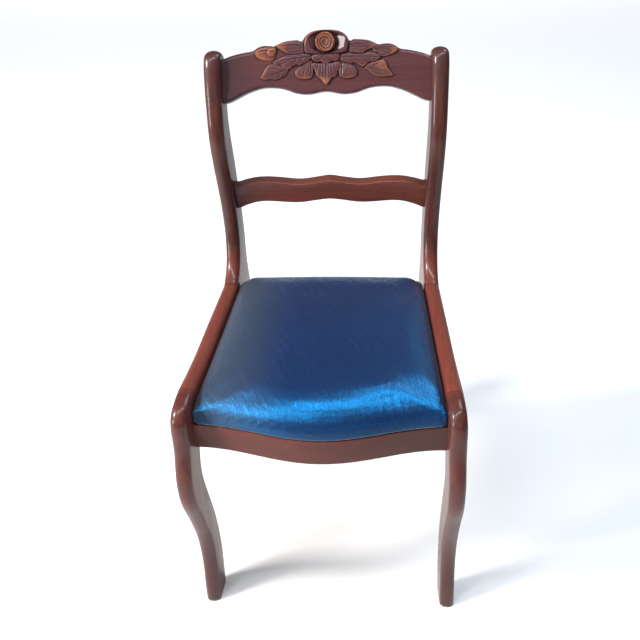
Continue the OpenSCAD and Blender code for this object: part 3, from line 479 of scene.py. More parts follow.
# The hood's dished front and its rosebud, as middle x, v and half sizes in mm
DISH = (2.0, 89.0, 31.5, 19.6)
BUD = (-0.2, 88.4, 17.0, 16.6)
# Rolled rim of the hood: its height and width
HOOD_H, HOOD_W = 4.7, 3.4
# Scoop of the dish: height at its rim, fall to the middle and how sudden that is
SCOOP_RIM, SCOOP_FALL, SCOOP_WALL = 5.0, 9.0, 5
# Its floor: height, half width of the flat part, climb beside that, and slope upward
TROUGH_H, TROUGH_HALF, TROUGH_CLIMB, TROUGH_SLOPE = -2.8, 14.5, 0.5, 0.08
# Rosebud: height of its rim and of its crown over that, and turns and height of its petals
BUD_RIM, BUD_CROWN, PETAL_TURNS, PETAL_H = 2.2, 2.8, 3.1, 2.5
# Leaves: share of the steep edge, its width and the width of the soft swelling behind it
LEAF_STEP, LEAF_STEP_W, LEAF_SWELL_W = 0.62, 1.1, 3.2
# Depth and width of the veins
MIDRIB = (1.1, 0.75)
SIDE_VEIN = (0.6, 0.6)


def closed_curve(points, per=10):
    """Smooth closed line through points given as x, v pairs in tenths of a mm."""
    p = np.array(points).reshape(-1, 2) / 10
    a, b, c, d = (np.roll(p, -k, axis=0)[:, None] for k in (-1, 0, 1, 2))
    t = (np.arange(per) / per)[:, None]
    line = 2 * b + (c - a) * t + (2 * a - 5 * b + 4 * c - d) * t * t
    line = 0.5 * (line + (3 * b - a - 3 * c + d) * t**3)
    return line.reshape(-1, 2)


def nearest_on(p, line):
    """Nearest point of a chain of segments to each point: distance, place, segment and share."""
    best = np.full(len(p), 1e9)
    foot = np.zeros((len(p), 2))
    segment, share = np.zeros((2, len(p)))
    for i in range(len(line) - 1):
        a, d = line[i], line[i + 1] - line[i]
        t = np.clip(((p - a) @ d) / max(d @ d, 1e-9), 0, 1)
        q = a + t[:, None] * d
        far = norm(p - q, axis=1)
        near = far < best
        best[near], foot[near], segment[near], share[near] = far[near], q[near], i, t[near]
    return best, foot, segment.astype(int), share


def is_inside(p, outline):
    inside = np.zeros(len(p), bool)
    b = outline[-1]
    for a in outline:
        over = (a[1] > p[:, 1]) != (b[1] > p[:, 1])
        x = a[0] + (b[0] - a[0]) * (p[:, 1] - a[1]) / (b[1] - a[1] + 1e-12)
        inside ^= over & (p[:, 0] < x)
        b = a
    return inside


def vein_line(root, tip, bend, steps=8):
    way = tip - root
    t = np.linspace(0, 1, steps + 1)[:, None]
    across = np.array([-way[1], way[0]]) / norm(way)
    return root + way * t + across * bend * 4 * t * (1 - t)


def points_inside(p, outline):
    """Which of the points lie in an outline, and how far these are from its rim."""
    low, high = outline.min(0) - 1, outline.max(0) + 1
    near = np.where(((p > low) & (p < high)).all(1))[0]
    near = near[is_inside(p[near], outline)]
    return near, nearest_on(p[near], np.vstack([outline, outline[:1]]))[0]


def leaf_height(p, low, high, bare, spot, edge, veins):
    """Height of one leaf over the board, how bare it is worn, and how deep its veins are cut."""
    height, worn, cut = np.zeros((3, len(p)))
    near, rim = points_inside(p, closed_curve(edge))
    q = p[near]
    veins = np.array(veins).reshape(-1, 5) / 10
    root, tip = veins[0, :2], veins[0, 2:4]
    way = np.clip((q - root) @ (tip - root) / ((tip - root) @ (tip - root)), 0, 1)
    top = low + (high - low) * way
    swell = (1 - LEAF_STEP) * (1 - np.exp(-rim / LEAF_SWELL_W))
    level = top * (LEAF_STEP * smoothstep(0, LEAF_STEP_W, rim) + swell)
    for k, vein in enumerate(veins):
        depth, width = SIDE_VEIN if k else MIDRIB
        line = vein_line(vein[:2], vein[2:4], vein[4])
        far, _, segment, share = nearest_on(q, line)
        along = (segment + share) / (len(line) - 1)
        deep = depth * (1 - along * 0.5) * smoothstep(0.2, 1.6, rim)
        groove = np.exp(-((far / width) ** 2))
        level -= deep * groove
        cut[near] = np.maximum(cut[near], groove * deep)
    away = norm(q - spot[:2], axis=1) / spot[2]
    rubbed = 0.45 * np.exp(-(((rim - 1.2) / 1.3) ** 2)) * (0.35 + 0.65 * bare)
    height[near] = level
    worn[near] = bare * np.clip(1.35 - away, 0, 1) * 0.62 + rubbed
    return height, worn, cut


def carving(p):
    """The same three values for all leaves and the hood with its rosebud."""
    height, worn, cut = np.zeros((3, len(p)))
    for leaf in LEAVES:
        level, bare, groove = leaf_height(p, *leaf)
        above = level > height
        worn = np.where(above, bare, worn)
        cut = np.where(above, groove, cut)
        height = np.maximum(height, level)
    near, rim = points_inside(p, closed_curve(HOOD))
    across, up = p[near].T
    x, v = across - DISH[0], up - DISH[1]
    turned = np.sin(np.clip(rim / HOOD_W, 0, 1) * np.pi / 2)
    roll = HOOD_H * (0.55 * smoothstep(0, 1.2, rim) + 0.45 * turned)
    dish = np.hypot(x / DISH[2], v / DISH[3])
    trough = TROUGH_H + TROUGH_CLIMB * np.maximum(np.abs(x) - TROUGH_HALF, 0) - TROUGH_SLOPE * v
    scoop = np.maximum(trough, SCOOP_RIM - SCOOP_FALL * (1 - np.clip(dish, 0, 1) ** SCOOP_WALL))
    level = np.where(dish < 1, np.minimum(roll, scoop), roll)
    x, v = across - BUD[0], up - BUD[1]
    r = np.hypot(x / BUD[2], v / BUD[3])
    turn = np.arctan2(v, x)
    core = np.hypot((x * 0.94 + v * 0.34) / (BUD[2] * 0.84), (v * 0.94 - x * 0.34) / BUD[3])
    winding = core * PETAL_TURNS - turn / (2 * np.pi) + 0.1 * np.sin(turn * 3 + core * 4)
    petal = winding - np.floor(winding)
    petals = PETAL_H * (0.2 + 0.8 * np.sqrt(petal)) * smoothstep(0, 0.16, petal)
    crown = BUD_CROWN * np.sqrt(np.clip(1 - 0.8 * r**2.4, 0, 1))
    bud = BUD_RIM + crown + petals * smoothstep(1.02, 0.88, r)
    wall = smoothstep(1.03, 0.93, r)
    height[near] = level * (1 - wall) + bud * wall
    bare = smoothstep(1, 0.85, r) * (0.3 + 0.5 * smoothstep(0.55, 0.95, petal))
    bare += 0.4 * (rim < 3.2) * (up > 84) * (across < 20)
    worn[near] = np.clip(bare, 0, 1)
    cut[near] = 0
    return height, worn, cut


def crest_rail(material, columns=600, rows=170, r=6.5, ease=3.25, ease_steps=6):
    """Carved board with its front edges rounded by r and its back edges by ease, in mm."""
    share = np.linspace(-1, 1, columns + 1)[:, None]
    low = curve_at(CREST_LOW, np.abs(share)) * CREST_H
    top = curve_at(CREST_TOP, np.abs(share)) * CREST_H
    f = np.linspace(0, 1, rows + 1)
    f = f * 0.9 + 0.1 * (1 - np.cos(np.pi * f)) / 2
    v = low + (top - low) * f
    x = np.broadcast_to(share * post_in(*CREST_FOOT), v.shape)
    fields = carving(np.column_stack([x.ravel(), v.ravel()]))
    height, worn, cut = (field.reshape(v.shape) for field in fields)
    height *= smoothstep(1, 0.985, np.abs(share))
    short = np.clip(r - np.minimum(v - low, top - v), 0, r)
    n = height - (r - np.sqrt(r**2 - short**2))
    wide, fine = blurred(height, 4.5), blurred(height, 1.3)
    # Hollows and vein grooves give a field of painted shade, with some dirt, for the material
    hollow = np.clip((wide - fine) / 1.3 + 0.75 * np.minimum(cut, 1), 0, 1)
    ridge = np.clip((fine - wide) / 0.9, 0, 1)
    worn = np.clip(worn * 0.85 + ridge * (0.15 + 0.55 * worn), 0, 1)
    angle = np.radians(np.linspace(0, 90, ease_steps))
    drawn = ease * (1 - np.cos(angle))
    back = ease - CREST_T - ease * np.sin(angle)
    v = np.hstack([v, top - drawn, low + drawn[::-1]])
    n = np.hstack([n, np.tile([*back, *back[::-1]], (columns + 1, 1))])
    hollow, worn = (np.pad(field, ((0, 0), (0, 2 * ease_steps))) for field in (hollow, worn))
    faces = ring_faces(*v.shape) + end_caps(*v.shape)
    obj = piece("crest_rail_carved", crest_point(share, v, n).reshape(-1, 3), faces, material,
                60.0, {"hollow": hollow.ravel(), "worn": worn.ravel()})
    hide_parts("crest_rail")


# Material nodes

class Nodes:
    def __init__(self, name):
        self.material = bpy.data.materials.new(name)
        self.material.use_nodes = True
        self.tree = self.material.node_tree
        self.tree.nodes.clear()
        self.shader = self.add("BsdfPrincipled")
        self.add("OutputMaterial", Surface=self.shader.outputs["BSDF"])
        self.place = self.add("TexCoord").outputs["Object"]

    def add(self, kind, **values):
        node = self.tree.nodes.new("ShaderNode" + kind)
        self.set(node, **values)
        return node

    def set(self, node, **values):
        for key, value in values.items():
            self.feed(node.inputs[key.replace("_", " ")], value)

    def feed(self, socket, value):
        if isinstance(value, bpy.types.NodeSocket):
            self.tree.links.new(value, socket)
        elif np.size(value) == 3 and len(socket.default_value) == 4:
            socket.default_value = (*value, 1)
        else:
            socket.default_value = value

    def maths(self, kind, a, b=0.0, c=0.0):
        node = self.add("Math")
        node.operation = kind
        for socket, value in zip(node.inputs, (a, b, c)):
            self.feed(socket, value)
        return node.outputs[0]

    def mapped(self, scale, turn=(0, 0, 0), shift=(0, 0, 0)):
        """Places on the piece, turned, then scaled and shifted."""
        place = self.place
        if any(turn):
            place = self.add("Mapping", Vector=place, Rotation=turn).outputs["Vector"]
        scale = tuple(np.broadcast_to(scale, 3))
        return self.add("Mapping", Vector=place, Scale=scale, Location=shift).outputs["Vector"]

    def noise(self, vector, detail, rough=0.5, bend=0.0):
        return self.add("TexNoise", Vector=vector, Scale=1.0, Detail=detail, Roughness=rough,
                        Distortion=bend).outputs[0]

    def ramp(self, value, stops):
        node = self.add("ValToRGB", Fac=value)
        points = node.color_ramp.elements
        while len(points) < len(stops):
            points.new(0.5)
        for point, (at, shade) in zip(points, stops):
            point.position = at
            point.color = (*shade, 1)
        return node.outputs["Color"]

    def span(self, value, low, high, to_low=0.0, to_high=1.0):
        """Eases a value from one range to another."""
        node = self.add("MapRange", Value=value, From_Min=low, From_Max=high,
                        To_Min=to_low, To_Max=to_high)
        node.interpolation_type = "SMOOTHSTEP"
        return node.outputs["Result"]

    def mix(self, factor, a, b):
        node = self.add("Mix")
        node.data_type = "RGBA"
        for socket, value in ((0, factor), (6, a), (7, b)):
            self.feed(node.inputs[socket], value)
        return node.outputs[2]

    def axis(self, which):
        return self.add("SeparateXYZ", Vector=self.place).outputs[which]

    def attribute(self, name):
        node = self.add("Attribute")
        node.attribute_name = name
        return node.outputs["Fac"]

    def bump(self, height, strength, distance, below=None):
        node = self.add("Bump", Strength=strength, Distance=distance, Height=height)
        if below is not None:
            self.feed(node.inputs["Normal"], below)
        return node.outputs["Normal"]


def grain_scale(axis, along, across):
    return tuple(along if k == axis else across for k in range(3))


WORN_WOOD = (0.27, 0.085, 0.034)
RUBBED_WOOD = (0.17, 0.048, 0.022)
SCUFFED_WOOD = (0.5, 0.3, 0.17)
PORE_DARK = (0.012, 0.004, 0.003)
# Painted shade, with some dirt, in the carving's hollows
CARVING_SHADE = (0.018, 0.006, 0.007)
GLUE_DARK = (0.008, 0.003, 0.002)
FOOT_DARK = (0.03, 0.016, 0.012)
STAINED_WOOD = (0.12, 0.07, 0.04)


def mahogany(name, axis, shades, tilt=(0, 0, 0), zones=(), seams=(), feet=False, carved=False,
             shift=0, coat=0.6, blur=0.15):
    """Stained and lacquered mahogany with its grain along one axis of the chair.

    shades are the stain's body, bright and deep colours.
    zones are (axis, from, to, colour, amount): the colour turns to that one along the way; some
    zones are stain, some are painted shade or painted light.
    seams are places along y with a thin dark glue line."""
    n = Nodes(name)

    def grain(along, across, detail, rough, bend=0.0):
        return n.noise(n.mapped(grain_scale(axis, along, across), tilt, (shift, 0, 0)), detail,
                       rough, bend)

    body, bright, deep = shades
    broad = grain(4, 11, 3, 0.55, 0.4)
    ribbon = grain(6, 150, 5, 0.6, 0.7)
    pores = grain(70, 1500, 2, 0.55, 0.2)
    colour = n.ramp(ribbon, [(0.22, deep), (0.5, body), (0.8, bright)])
    colour = n.mix(n.span(broad, 0.36, 0.7, 0, 0.4), colour, deep)
    for way, start, end, shade, amount in zones:
        part = n.span(n.axis(way), start, end, 0, amount)
        patchy = n.maths("MULTIPLY", part, n.span(broad, 0.25, 0.75, 1.25, 0.75))
        colour = n.mix(n.maths("MINIMUM", patchy, 1), colour, shade)
    colour = n.mix(n.span(pores, 0.3, 0.44, 0.5, 0), colour, PORE_DARK)
    marks = n.noise(n.mapped(90, shift=(3, 1, 2)), 4, 0.7, 2.5)
    colour = n.mix(n.span(marks, 0.7, 0.74, 0, 0.35), colour, WORN_WOOD)
    if carved:
        patch = n.noise(n.mapped(150), 4, 0.65, 0.6)
        worn = n.maths("ADD", n.attribute("worn"), n.maths("MULTIPLY", patch, 0.5))
        bare = n.maths("MULTIPLY", n.span(worn, 0.38, 1), 0.92)
        colour = n.mix(bare, colour, n.ramp(ribbon, [(0.3, RUBBED_WOOD), (0.7, WORN_WOOD)]))
        # The carving's hollows are painted darker: painted shade, with some dirt
        hollow = n.span(n.attribute("hollow"), 0.03, 0.7, 0, 0.95)
        colour = n.mix(hollow, colour, CARVING_SHADE)
    for place in seams:
        gap = n.maths("ABSOLUTE", n.maths("SUBTRACT", n.axis("Y"), place * MM))
        colour = n.mix(n.span(gap, 0.00025, 0.0011, 0.8, 0), colour, GLUE_DARK)
    if feet:
        ragged = n.noise(n.mapped((120, 120, 60)), 4, 0.7)
        low = n.maths("ADD", n.axis("Z"), n.maths("MULTIPLY", ragged, -0.016))
        colour = n.mix(n.span(low, -0.0055, -0.0035, 0.85, 0), colour, SCUFFED_WOOD)
        colour = n.mix(n.span(low, -0.003, 0.02, 0.5, 0), colour, FOOT_DARK)
    fine = n.bump(n.span(pores, 0.28, 0.46), 0.25, 0.00035)
    normal = n.bump(grain(9, 55, 3, 0.5), 0.35, 0.0006, fine)
    n.set(n.shader, Base_Color=colour, Roughness=n.span(broad, 0.3, 0.7, 0.42, 0.56),
          Normal=normal, IOR=1.3, Coat_Weight=coat, Coat_Roughness=blur, Coat_IOR=1.42)
    return n.material


def bare_timber(name, axis, light, dark, rough=0.62):
    n = Nodes(name)
    grain = n.noise(n.mapped(grain_scale(axis, 9, 260)), 5, 0.6, 0.6)
    rings = n.noise(n.mapped(grain_scale(axis, 3, 45)), 3, 0.5, 1)
    colour = n.ramp(grain, [(0.3, dark), (0.7, light)])
    colour = n.mix(n.span(rings, 0.4, 0.65, 0, 0.5), colour, dark)
    stain = n.noise(n.mapped(14), 4, 0.6, 0.8)
    colour = n.mix(n.span(stain, 0.5, 0.75, 0, 0.35), colour, STAINED_WOOD)
    n.set(n.shader, Base_Color=colour, Roughness=rough, Normal=n.bump(grain, 0.35, 0.0004))
    return n.material


def plated_steel(name):
    n = Nodes(name)
    grime = n.noise(n.mapped(900), 4, 0.6)
    colour = n.ramp(grime, [(0.35, (0.22, 0.19, 0.15)), (0.6, (0.56, 0.55, 0.53))])
    n.set(n.shader, Base_Color=colour, Metallic=1.0, Normal=n.bump(grime, 0.3, 0.0002),
          Roughness=n.span(grime, 0.3, 0.7, 0.62, 0.34))
    return n.material


# Direction of the slubs across the seat, seen from above
SLUB_TURN = radians(-60)
# The cover's lowest part shades as a face that leans back: from, to and by how much, in mm
FACE_FROM, FACE_TO, FACE_LEAN = SEAT_H - 14.0, SEAT_H + 24.0, 8.5
SATIN_DEEP = (0.002, 0.006, 0.028)
SATIN_BODY = (0.003, 0.009, 0.044)
SATIN_BRIGHT = (0.018, 0.038, 0.14)
SATIN_BROAD = (0.004, 0.01, 0.045)
# Grey of the painted sheen on the satin's left side and low front face
SATIN_SHEEN_GREY = (0.05, 0.055, 0.06)


def satin(name):
    n = Nodes(name)
    slub = n.noise(n.mapped((14, 620, 400), (0, 0, -SLUB_TURN)), 3, 0.6, 0.25)
    fold = n.noise(n.mapped((7, 130, 90), (0, 0, -SLUB_TURN)), 3, 0.55, 0.5)
    broad = n.noise(n.mapped(7), 2)
    colour = n.ramp(slub, [(0.25, SATIN_DEEP), (0.5, SATIN_BODY), (0.78, SATIN_BRIGHT)])
    colour = n.mix(n.span(broad, 0.35, 0.7, 0, 0.5), colour, SATIN_BROAD)
    lean = n.span(n.axis("Z"), FACE_FROM * MM, FACE_TO * MM, 1, 0)
    # Greyer on the left side and low on the front face: painted sheen and reflection
    left = n.span(n.axis("X"), -0.04, -0.17)
    sheen_mask = n.maths("MAXIMUM", left, n.maths("MULTIPLY", lean, 1.1))
    painted_sheen = n.maths("MULTIPLY", sheen_mask, n.span(slub, 0.2, 0.7, 0.45, 0.8))
    weave = n.add("TexWave", Vector=n.mapped(1, (0, 0, radians(3))), Scale=1400)
    normal = n.bump(weave.outputs["Fac"], 0.05, 0.00008)
    normal = n.bump(slub, 0.75, 0.0005, normal)
    normal = n.bump(fold, 0.45, 0.0011, normal)
    normal = n.bump(lean, 1, FACE_LEAN * MM, normal)
    gloss = n.span(slub, 0.3, 0.72, 0.38, 0.22)
    n.set(n.shader, Base_Color=n.mix(painted_sheen, colour, SATIN_SHEEN_GREY), Normal=normal, IOR=2.15,
          Roughness=n.maths("MULTIPLY_ADD", lean, 0.35, gloss), Anisotropic=0.3,
          Specular_Tint=(0.01, 0.42, 1), Sheen_Tint=(0.66, 0.7, 0.72), Sheen_Weight=0.2,
          Sheen_Roughness=0.4, Coat_Weight=0.1, Coat_Roughness=0.6, Coat_IOR=1.45)
    return n.material


def floor_material():
    n = Nodes("pale_floor")
    grey = n.noise(n.mapped(0.8), 2)
    n.set(n.shader, Base_Color=n.ramp(grey, [(0.3, (0.93,) * 3), (0.7, (0.95,) * 3)]),
          Roughness=0.7)
    return n.material


# Drop-in seat

def seat_front_y(x):
    return rail_front_y(x) + SEAT_SETBACK


SEAT_REAR_Y = REAR_Y + SEAT_BACK
SEAT_CORNER_X = leg_in(FRONT_Y - FRONT_RAIL_FORE, SEAT_H) - SEAT_GAP
SEAT_CORNER_Y = seat_front_y(SEAT_CORNER_X)


def seat_side_x(y):
    front = seat_front_y(0)
    way = np.clip((y - front) / (SEAT_REAR_Y - front), 0, 1)
    return side_in(y, SEAT_H) - SEAT_GAP - SEAT_DRAW * np.sin(np.pi * way) ** 2


def seat_plan(ends=36, corner=10, sides=34, rear=14):
    """Outline of the seat in plan, from the middle of its front edge round."""
    fx, fy = SEAT_CORNER_X - SEAT_FRONT_R, SEAT_CORNER_Y + SEAT_FRONT_R
    rx, ry = seat_side_x(SEAT_REAR_Y) - SEAT_REAR_R, SEAT_REAR_Y - SEAT_REAR_R
    x = fx * (np.arange(ends) + 0.5) / ends
    y = fy + (ry - fy) * (np.arange(sides) + 0.5) / sides
    back = rx * (1 - (np.arange(rear) + 0.5) / rear)
    a = np.radians(90 * (np.arange(corner) + 0.5) / corner)
    half = np.hstack([
        [x, seat_front_y(x)],
        [fx + SEAT_FRONT_R * np.sin(a), fy - SEAT_FRONT_R * np.cos(a)],
        [seat_side_x(y), y],
        [rx + SEAT_REAR_R * np.cos(a), ry + SEAT_REAR_R * np.sin(a)],
        [back, np.full(rear, SEAT_REAR_Y)]]).T
    return np.vstack([half, (half * [-1, 1])[::-1]])


PLAN = seat_plan()
PLAN_MIDDLE = np.array([0, (seat_front_y(0) + SEAT_REAR_Y) / 2])
COVER_RISE = BOARD_T + PAD_RISE + 2 * COVER_T
OVER_BOARD = SEAT_H + COVER_T + BOARD_T
WALL_RISE = 15.0


def plan_ring(share, draw, z):
    scale = share * (1 - draw / SEAT_CORNER_X)
    q = PLAN_MIDDLE + (PLAN - PLAN_MIDDLE) * scale
    return np.column_stack([q, np.broadcast_to(z, len(q))])


# How far in the padded top rolls over at front and rear, as shares of the seat's depth, and the
# share of its rise that its sides start with
FRONT_ROLL, REAR_ROLL = 0.17, 0.065
SIDE_START = 0.45


def dome(x, y):
    """Share of the padded top's rise over its walls: round at the front, fuller at the sides."""
    front = seat_front_y(x)
    ahead = np.clip((SEAT_REAR_Y - y) / (SEAT_REAR_Y - front), 0, 1)
    beside = np.clip(np.abs(x) / (seat_side_x(y) + 0.5), 0, 1)
    front_roll = np.sqrt(1 - np.clip(1 - (1 - ahead) / FRONT_ROLL, 0, 1) ** 2)
    rear_roll = np.sqrt(1 - np.clip(1 - ahead / REAR_ROLL, 0, 1) ** 2)
    side_roll = SIDE_START + (1 - SIDE_START) * np.clip(1 - beside**16, 0, 1) ** 0.42
    crown = (1 - beside**2.2) * (1 - np.abs(2 * ahead - 1) ** 2.2)
    corner = 0.09 * (1 - beside**2) - 0.4 * smoothstep(0.84, 1, beside)
    near_rear = 1 + smoothstep(0.22, 0, ahead) * corner
    return front_roll * rear_roll * side_roll * (0.7 + 0.3 * crown) * near_rear


def cushion_start(draw):
    """Closed padded form, a little smaller than the finished seat."""
    low = SEAT_H + 0.4
    rings = [plan_ring(share, draw, low) for share in (0.35, 0.8, 0.985)]
    rings += [plan_ring(1, draw, low + f * WALL_RISE) for f in (0, 0.25, 0.5, 0.75)]
    close = np.linspace(0, 0.25, 34) ** 1.6 * 0.25**-0.6
    for share in 1 - np.concatenate([close, np.linspace(0.28, 0.95, 18)]):
        q = plan_ring(share, draw, 0)
        q[:, 2] = low + (WALL_RISE + (COVER_RISE - draw - WALL_RISE) * dome(*q[:, :2].T))
        rings.append(q)
    count = len(PLAN)
    peak = low + COVER_RISE - draw
    verts = np.vstack(rings + [[*PLAN_MIDDLE, low], [*PLAN_MIDDLE, peak]])
    faces = ring_faces(len(rings), count)
    bottom, top = len(rings) * count, len(rings) * count + 1
    last = (len(rings) - 1) * count
    for i in range(count):
        j = (i + 1) % count
        faces += [[bottom, j, i], [top, last + i, last + j]]
    return verts, faces


def applied(obj):
    bpy.context.view_layer.update()
    made = bpy.data.meshes.new_from_object(obj.evaluated_get(bpy.context.evaluated_depsgraph_get()))
    obj.modifiers.clear()
    obj.data = made


def vectors(items, key="co"):
    out = np.empty(len(items) * 3)
    items.foreach_get(key, out)
    return out.reshape(-1, 3)


def set_verts(mesh, places):
    mesh.vertices.foreach_set("co", np.asarray(places, float).ravel())
    mesh.update()


def wrinkle_height(p):
    """Soft creases of the pulled satin, from summed waves across the slub direction."""
    c, s = cos(SLUB_TURN), sin(SLUB_TURN)
    along = p[:, 0] * c + p[:, 1] * s
    across = -p[:, 0] * s + p[:, 1] * c
    total = np.zeros(len(p))
    local = np.random.default_rng(7)
    for _ in range(26):
        width = local.uniform(5, 16)
        length = local.uniform(35, 110)
        phase = local.uniform(0, 2 * np.pi, 2)
        bend = local.uniform(-0.12, 0.12)
        wave = np.sin((across + bend * along) * 2 * np.pi / width + phase[0])
        reach = np.clip(np.sin(along * 2 * np.pi / length + phase[1]), 0, 1)
        total += wave * reach**2 * width / 16
    return total / 6


# Inset of the cover's walls from the seat's outline by height over the rails, in mm. At the
# sides they press against the side frames.
WALL_INSET = [(0, 0.6), (2, 0), (4, -0.5), (13, -0.5), (20, 0.1)]
WALL_FADE = (7.0, 15.0)
SIDE_FADE = (20.0, 31.0)
TOUCH = 0.3


def evened(values, mesh, rounds):
    """Averages a field on the vertices with the neighbours along the edges."""
    pairs = np.empty(len(mesh.edges) * 2, dtype=np.int32)
    mesh.edges.foreach_get("vertices", pairs)
    a, b = pairs.reshape(-1, 2).T
    count = np.bincount(a, minlength=len(values)) + np.bincount(b, minlength=len(values))
    for _ in range(rounds):
        for k in range(3):
            total = (np.bincount(a, values[b, k], len(values))
                     + np.bincount(b, values[a, k], len(values)))
            values[:, k] = 0.4 * values[:, k] + 0.6 * total / np.maximum(count, 1)
    return values


VOXEL = 0.0045
# The board holds the cover up to this height over the rails, in mm
HELD_RISE = 9
FRAMES = 20
CLOTH = dict(quality=6, mass=0.25, use_pressure=True, uniform_pressure_force=4.0,
             tension_stiffness=18, compression_stiffness=18, shear_stiffness=8,
             bending_stiffness=0.6, vertex_group_mass="held")
# The most that cloth moves a point, in m, and how its evened and its own movement are mixed
MOVE_CAP = 0.0035
EVEN_ROUNDS = 16
EVENED, OWN = 0.85, 0.15
CREASE = 0.32


def blow_up(obj):
    """Runs cloth with inner pressure, and keeps its movement capped and evened."""
    start = vectors(obj.data.vertices)
    held = obj.vertex_groups.new(name="held")
    held.add(np.where(start[:, 2] < (SEAT_H + HELD_RISE) * MM)[0].tolist(), 1, "REPLACE")
    cloth = obj.modifiers.new("cloth", "CLOTH")
    for key, value in CLOTH.items():
        setattr(cloth.settings, key, value)
    cloth.settings.effector_weights.gravity = 0.0
    cloth.point_cache.frame_end = FRAMES
    for at in range(1, FRAMES + 1):
        scene.frame_set(at)
    applied(obj)
    moved = vectors(obj.data.vertices) - start
    length = norm(moved, axis=1)
    moved *= (MOVE_CAP * np.tanh(length / MOVE_CAP) / np.maximum(length, 1e-9))[:, None]
    even = evened(moved.copy(), obj.data, EVEN_ROUNDS)
    set_verts(obj.data, start + EVENED * even + OWN * moved)
    obj.vertex_groups.clear()


def fitted(p, normals):
    """Cushion points in mm, with the walls, foot and sides brought to their place."""
    p[:, 2] = np.maximum(p[:, 2], SEAT_H + 0.25)
    line = np.vstack([PLAN, PLAN[:1]])
    off, foot, segment, _ = nearest_on(p[:, :2], line)
    way = np.diff(line, axis=0)[segment]
    out = np.stack([way[:, 1], -way[:, 0]], axis=1) / norm(way, axis=1)[:, None]
    rise = p[:, 2] - SEAT_H
    beside = smoothstep(0.5, 0.9, np.abs(out[:, 0])) * smoothstep(0, 6, rise)
    room = side_in(foot[:, 1], SEAT_H) - np.abs(foot[:, 0]) - TOUCH
    inset = np.interp(rise, *np.array(WALL_INSET).T) * (1 - beside) - room * beside
    reach = 1 - smoothstep(*WALL_FADE, rise) * (1 - beside) - smoothstep(*SIDE_FADE, rise) * beside
    wall = (reach * smoothstep(9.0, 4.0, off) * (normals[:, 2] > -0.6))[:, None]
    p[:, :2] = p[:, :2] * (1 - wall) + (foot - out * inset[:, None]) * wall
    under = (rise < 6) & (normals[:, 2] < -0.5) & (off > 6)
    p[under, 2] = OVER_BOARD + 0.6
    limit = side_in(p[:, 1], np.minimum(p[:, 2], RAIL_REAR_H)) - 0.25
    over = (p[:, 2] < SHOULDER_H) & (np.abs(p[:, 0]) > limit)
    p[over, 0] = (np.sign(p[:, 0]) * limit)[over]
    return p


def seat_cushion():
    obj = linked("seat_cushion", mesh_of("seat_cushion", *cushion_start(0.4)))
    remesh = obj.modifiers.new("voxels", "REMESH")
    remesh.mode = "VOXEL"
    remesh.voxel_size = VOXEL
    applied(obj)
    blow_up(obj)
    divide = obj.modifiers.new("divide", "SUBSURF")
    divide.levels = 1
    applied(obj)
    p = vectors(obj.data.vertices) / MM
    normals = vectors(obj.data.vertex_normals, "vector")
    upper = smoothstep(SEAT_H + 14, SEAT_H + 34, p[:, 2])
    p += normals * (wrinkle_height(p) * CREASE * (0.25 + 0.75 * upper))[:, None]
    set_verts(obj.data, fitted(p, normals) * MM)
    return obj


# Build

PURPLE = (0.06, 0.019, 0.02)
RAIL_BODY = (0.165, 0.034, 0.02)
RAIL_SHADES = RAIL_BODY, (0.22, 0.048, 0.024), (0.115, 0.024, 0.016)
LEG_SHADES = (0.088, 0.017, 0.011), (0.125, 0.026, 0.014), (0.045, 0.012, 0.01)
POST_SHADES = (0.065, 0.014, 0.008), (0.115, 0.025, 0.01), (0.025, 0.008, 0.008)
CREST_SHADES = (0.078, 0.02, 0.021), (0.1, 0.026, 0.025), (0.05, 0.014, 0.018)
MID_SHADES = (0.12, 0.028, 0.015), (0.18, 0.04, 0.017), (0.06, 0.015, 0.01)
FRONT_SHADES = (0.11, 0.021, 0.011), (0.15, 0.03, 0.014), (0.07, 0.015, 0.01)
REAR_SHADES = (0.13, 0.028, 0.016), (0.2, 0.042, 0.02), LEG_SHADES[2]
# Where the grain starts on each side's leg, side rail and post
GRAIN_STARTS = {"left": (0.3, 0.1, 0.6), "right": (0.9, 0.5, 0.2)}

for side, (leg_start, rail_start, post_start) in GRAIN_STARTS.items():
    leg_wood = mahogany(f"mahogany_leg_{side}", 2, LEG_SHADES, shift=leg_start, seams=[FRONT_Y],
                        zones=[("Z", 0.3, 0.12, PURPLE, 0.5),
                               ("Y", -0.2, -0.186, RAIL_BODY, 0.5)], feet=True, coat=0.42)
    rail_wood = mahogany(f"mahogany_side_{side}", 1, RAIL_SHADES, shift=rail_start,
                         seams=[FRONT_Y, REAR_Y], coat=0.45)
    # The posts' lower part turns the side rail's orange-red: painted light
    post_wood = mahogany(f"mahogany_post_{side}", 2, POST_SHADES, shift=post_start, seams=[REAR_Y],
                         zones=[("Z", 0.7, 0.83, PURPLE, 0.5),
                                ("Z", 0.5, 0.46, RAIL_BODY, 0.5)], feet=True, coat=0.42)
    sawn_board("front_leg", side, leg_lines(), leg_in, leg_thick, leg_wood)
    sawn_board("side_rail", side, rail_lines(), rail_in, rail_thick, rail_wood)
    sawn_board("rear_post", side, post_lines(), post_in, post_thick, post_wood)

# The crest's dark left end is a painted shadow of the left post
crest_rail(mahogany("mahogany_crest", 0, CREST_SHADES, tilt=(-CREST_TILT, 0, 0), carved=True,
                    zones=[("X", -0.1, -0.17, (0.014, 0.007, 0.01), 0.65)], coat=0.45, blur=0.27))


def mid_section(share):
    low, top = (MID_Z + curve_at(k, abs(share)) * MID_RAIL_H for k in (MID_LOW, MID_TOP))
    return eased_box(low, top, MID_Y, MID_Y + MID_RAIL_T, MID_EASE)


def front_section(share):
    y = rail_front_y(share * leg_in(FRONT_Y - FRONT_RAIL_FORE, SEAT_H))
    return eased_box(SEAT_H - FRONT_RAIL_H, SEAT_H, y, y + FRONT_RAIL_T, RAIL_EASE)
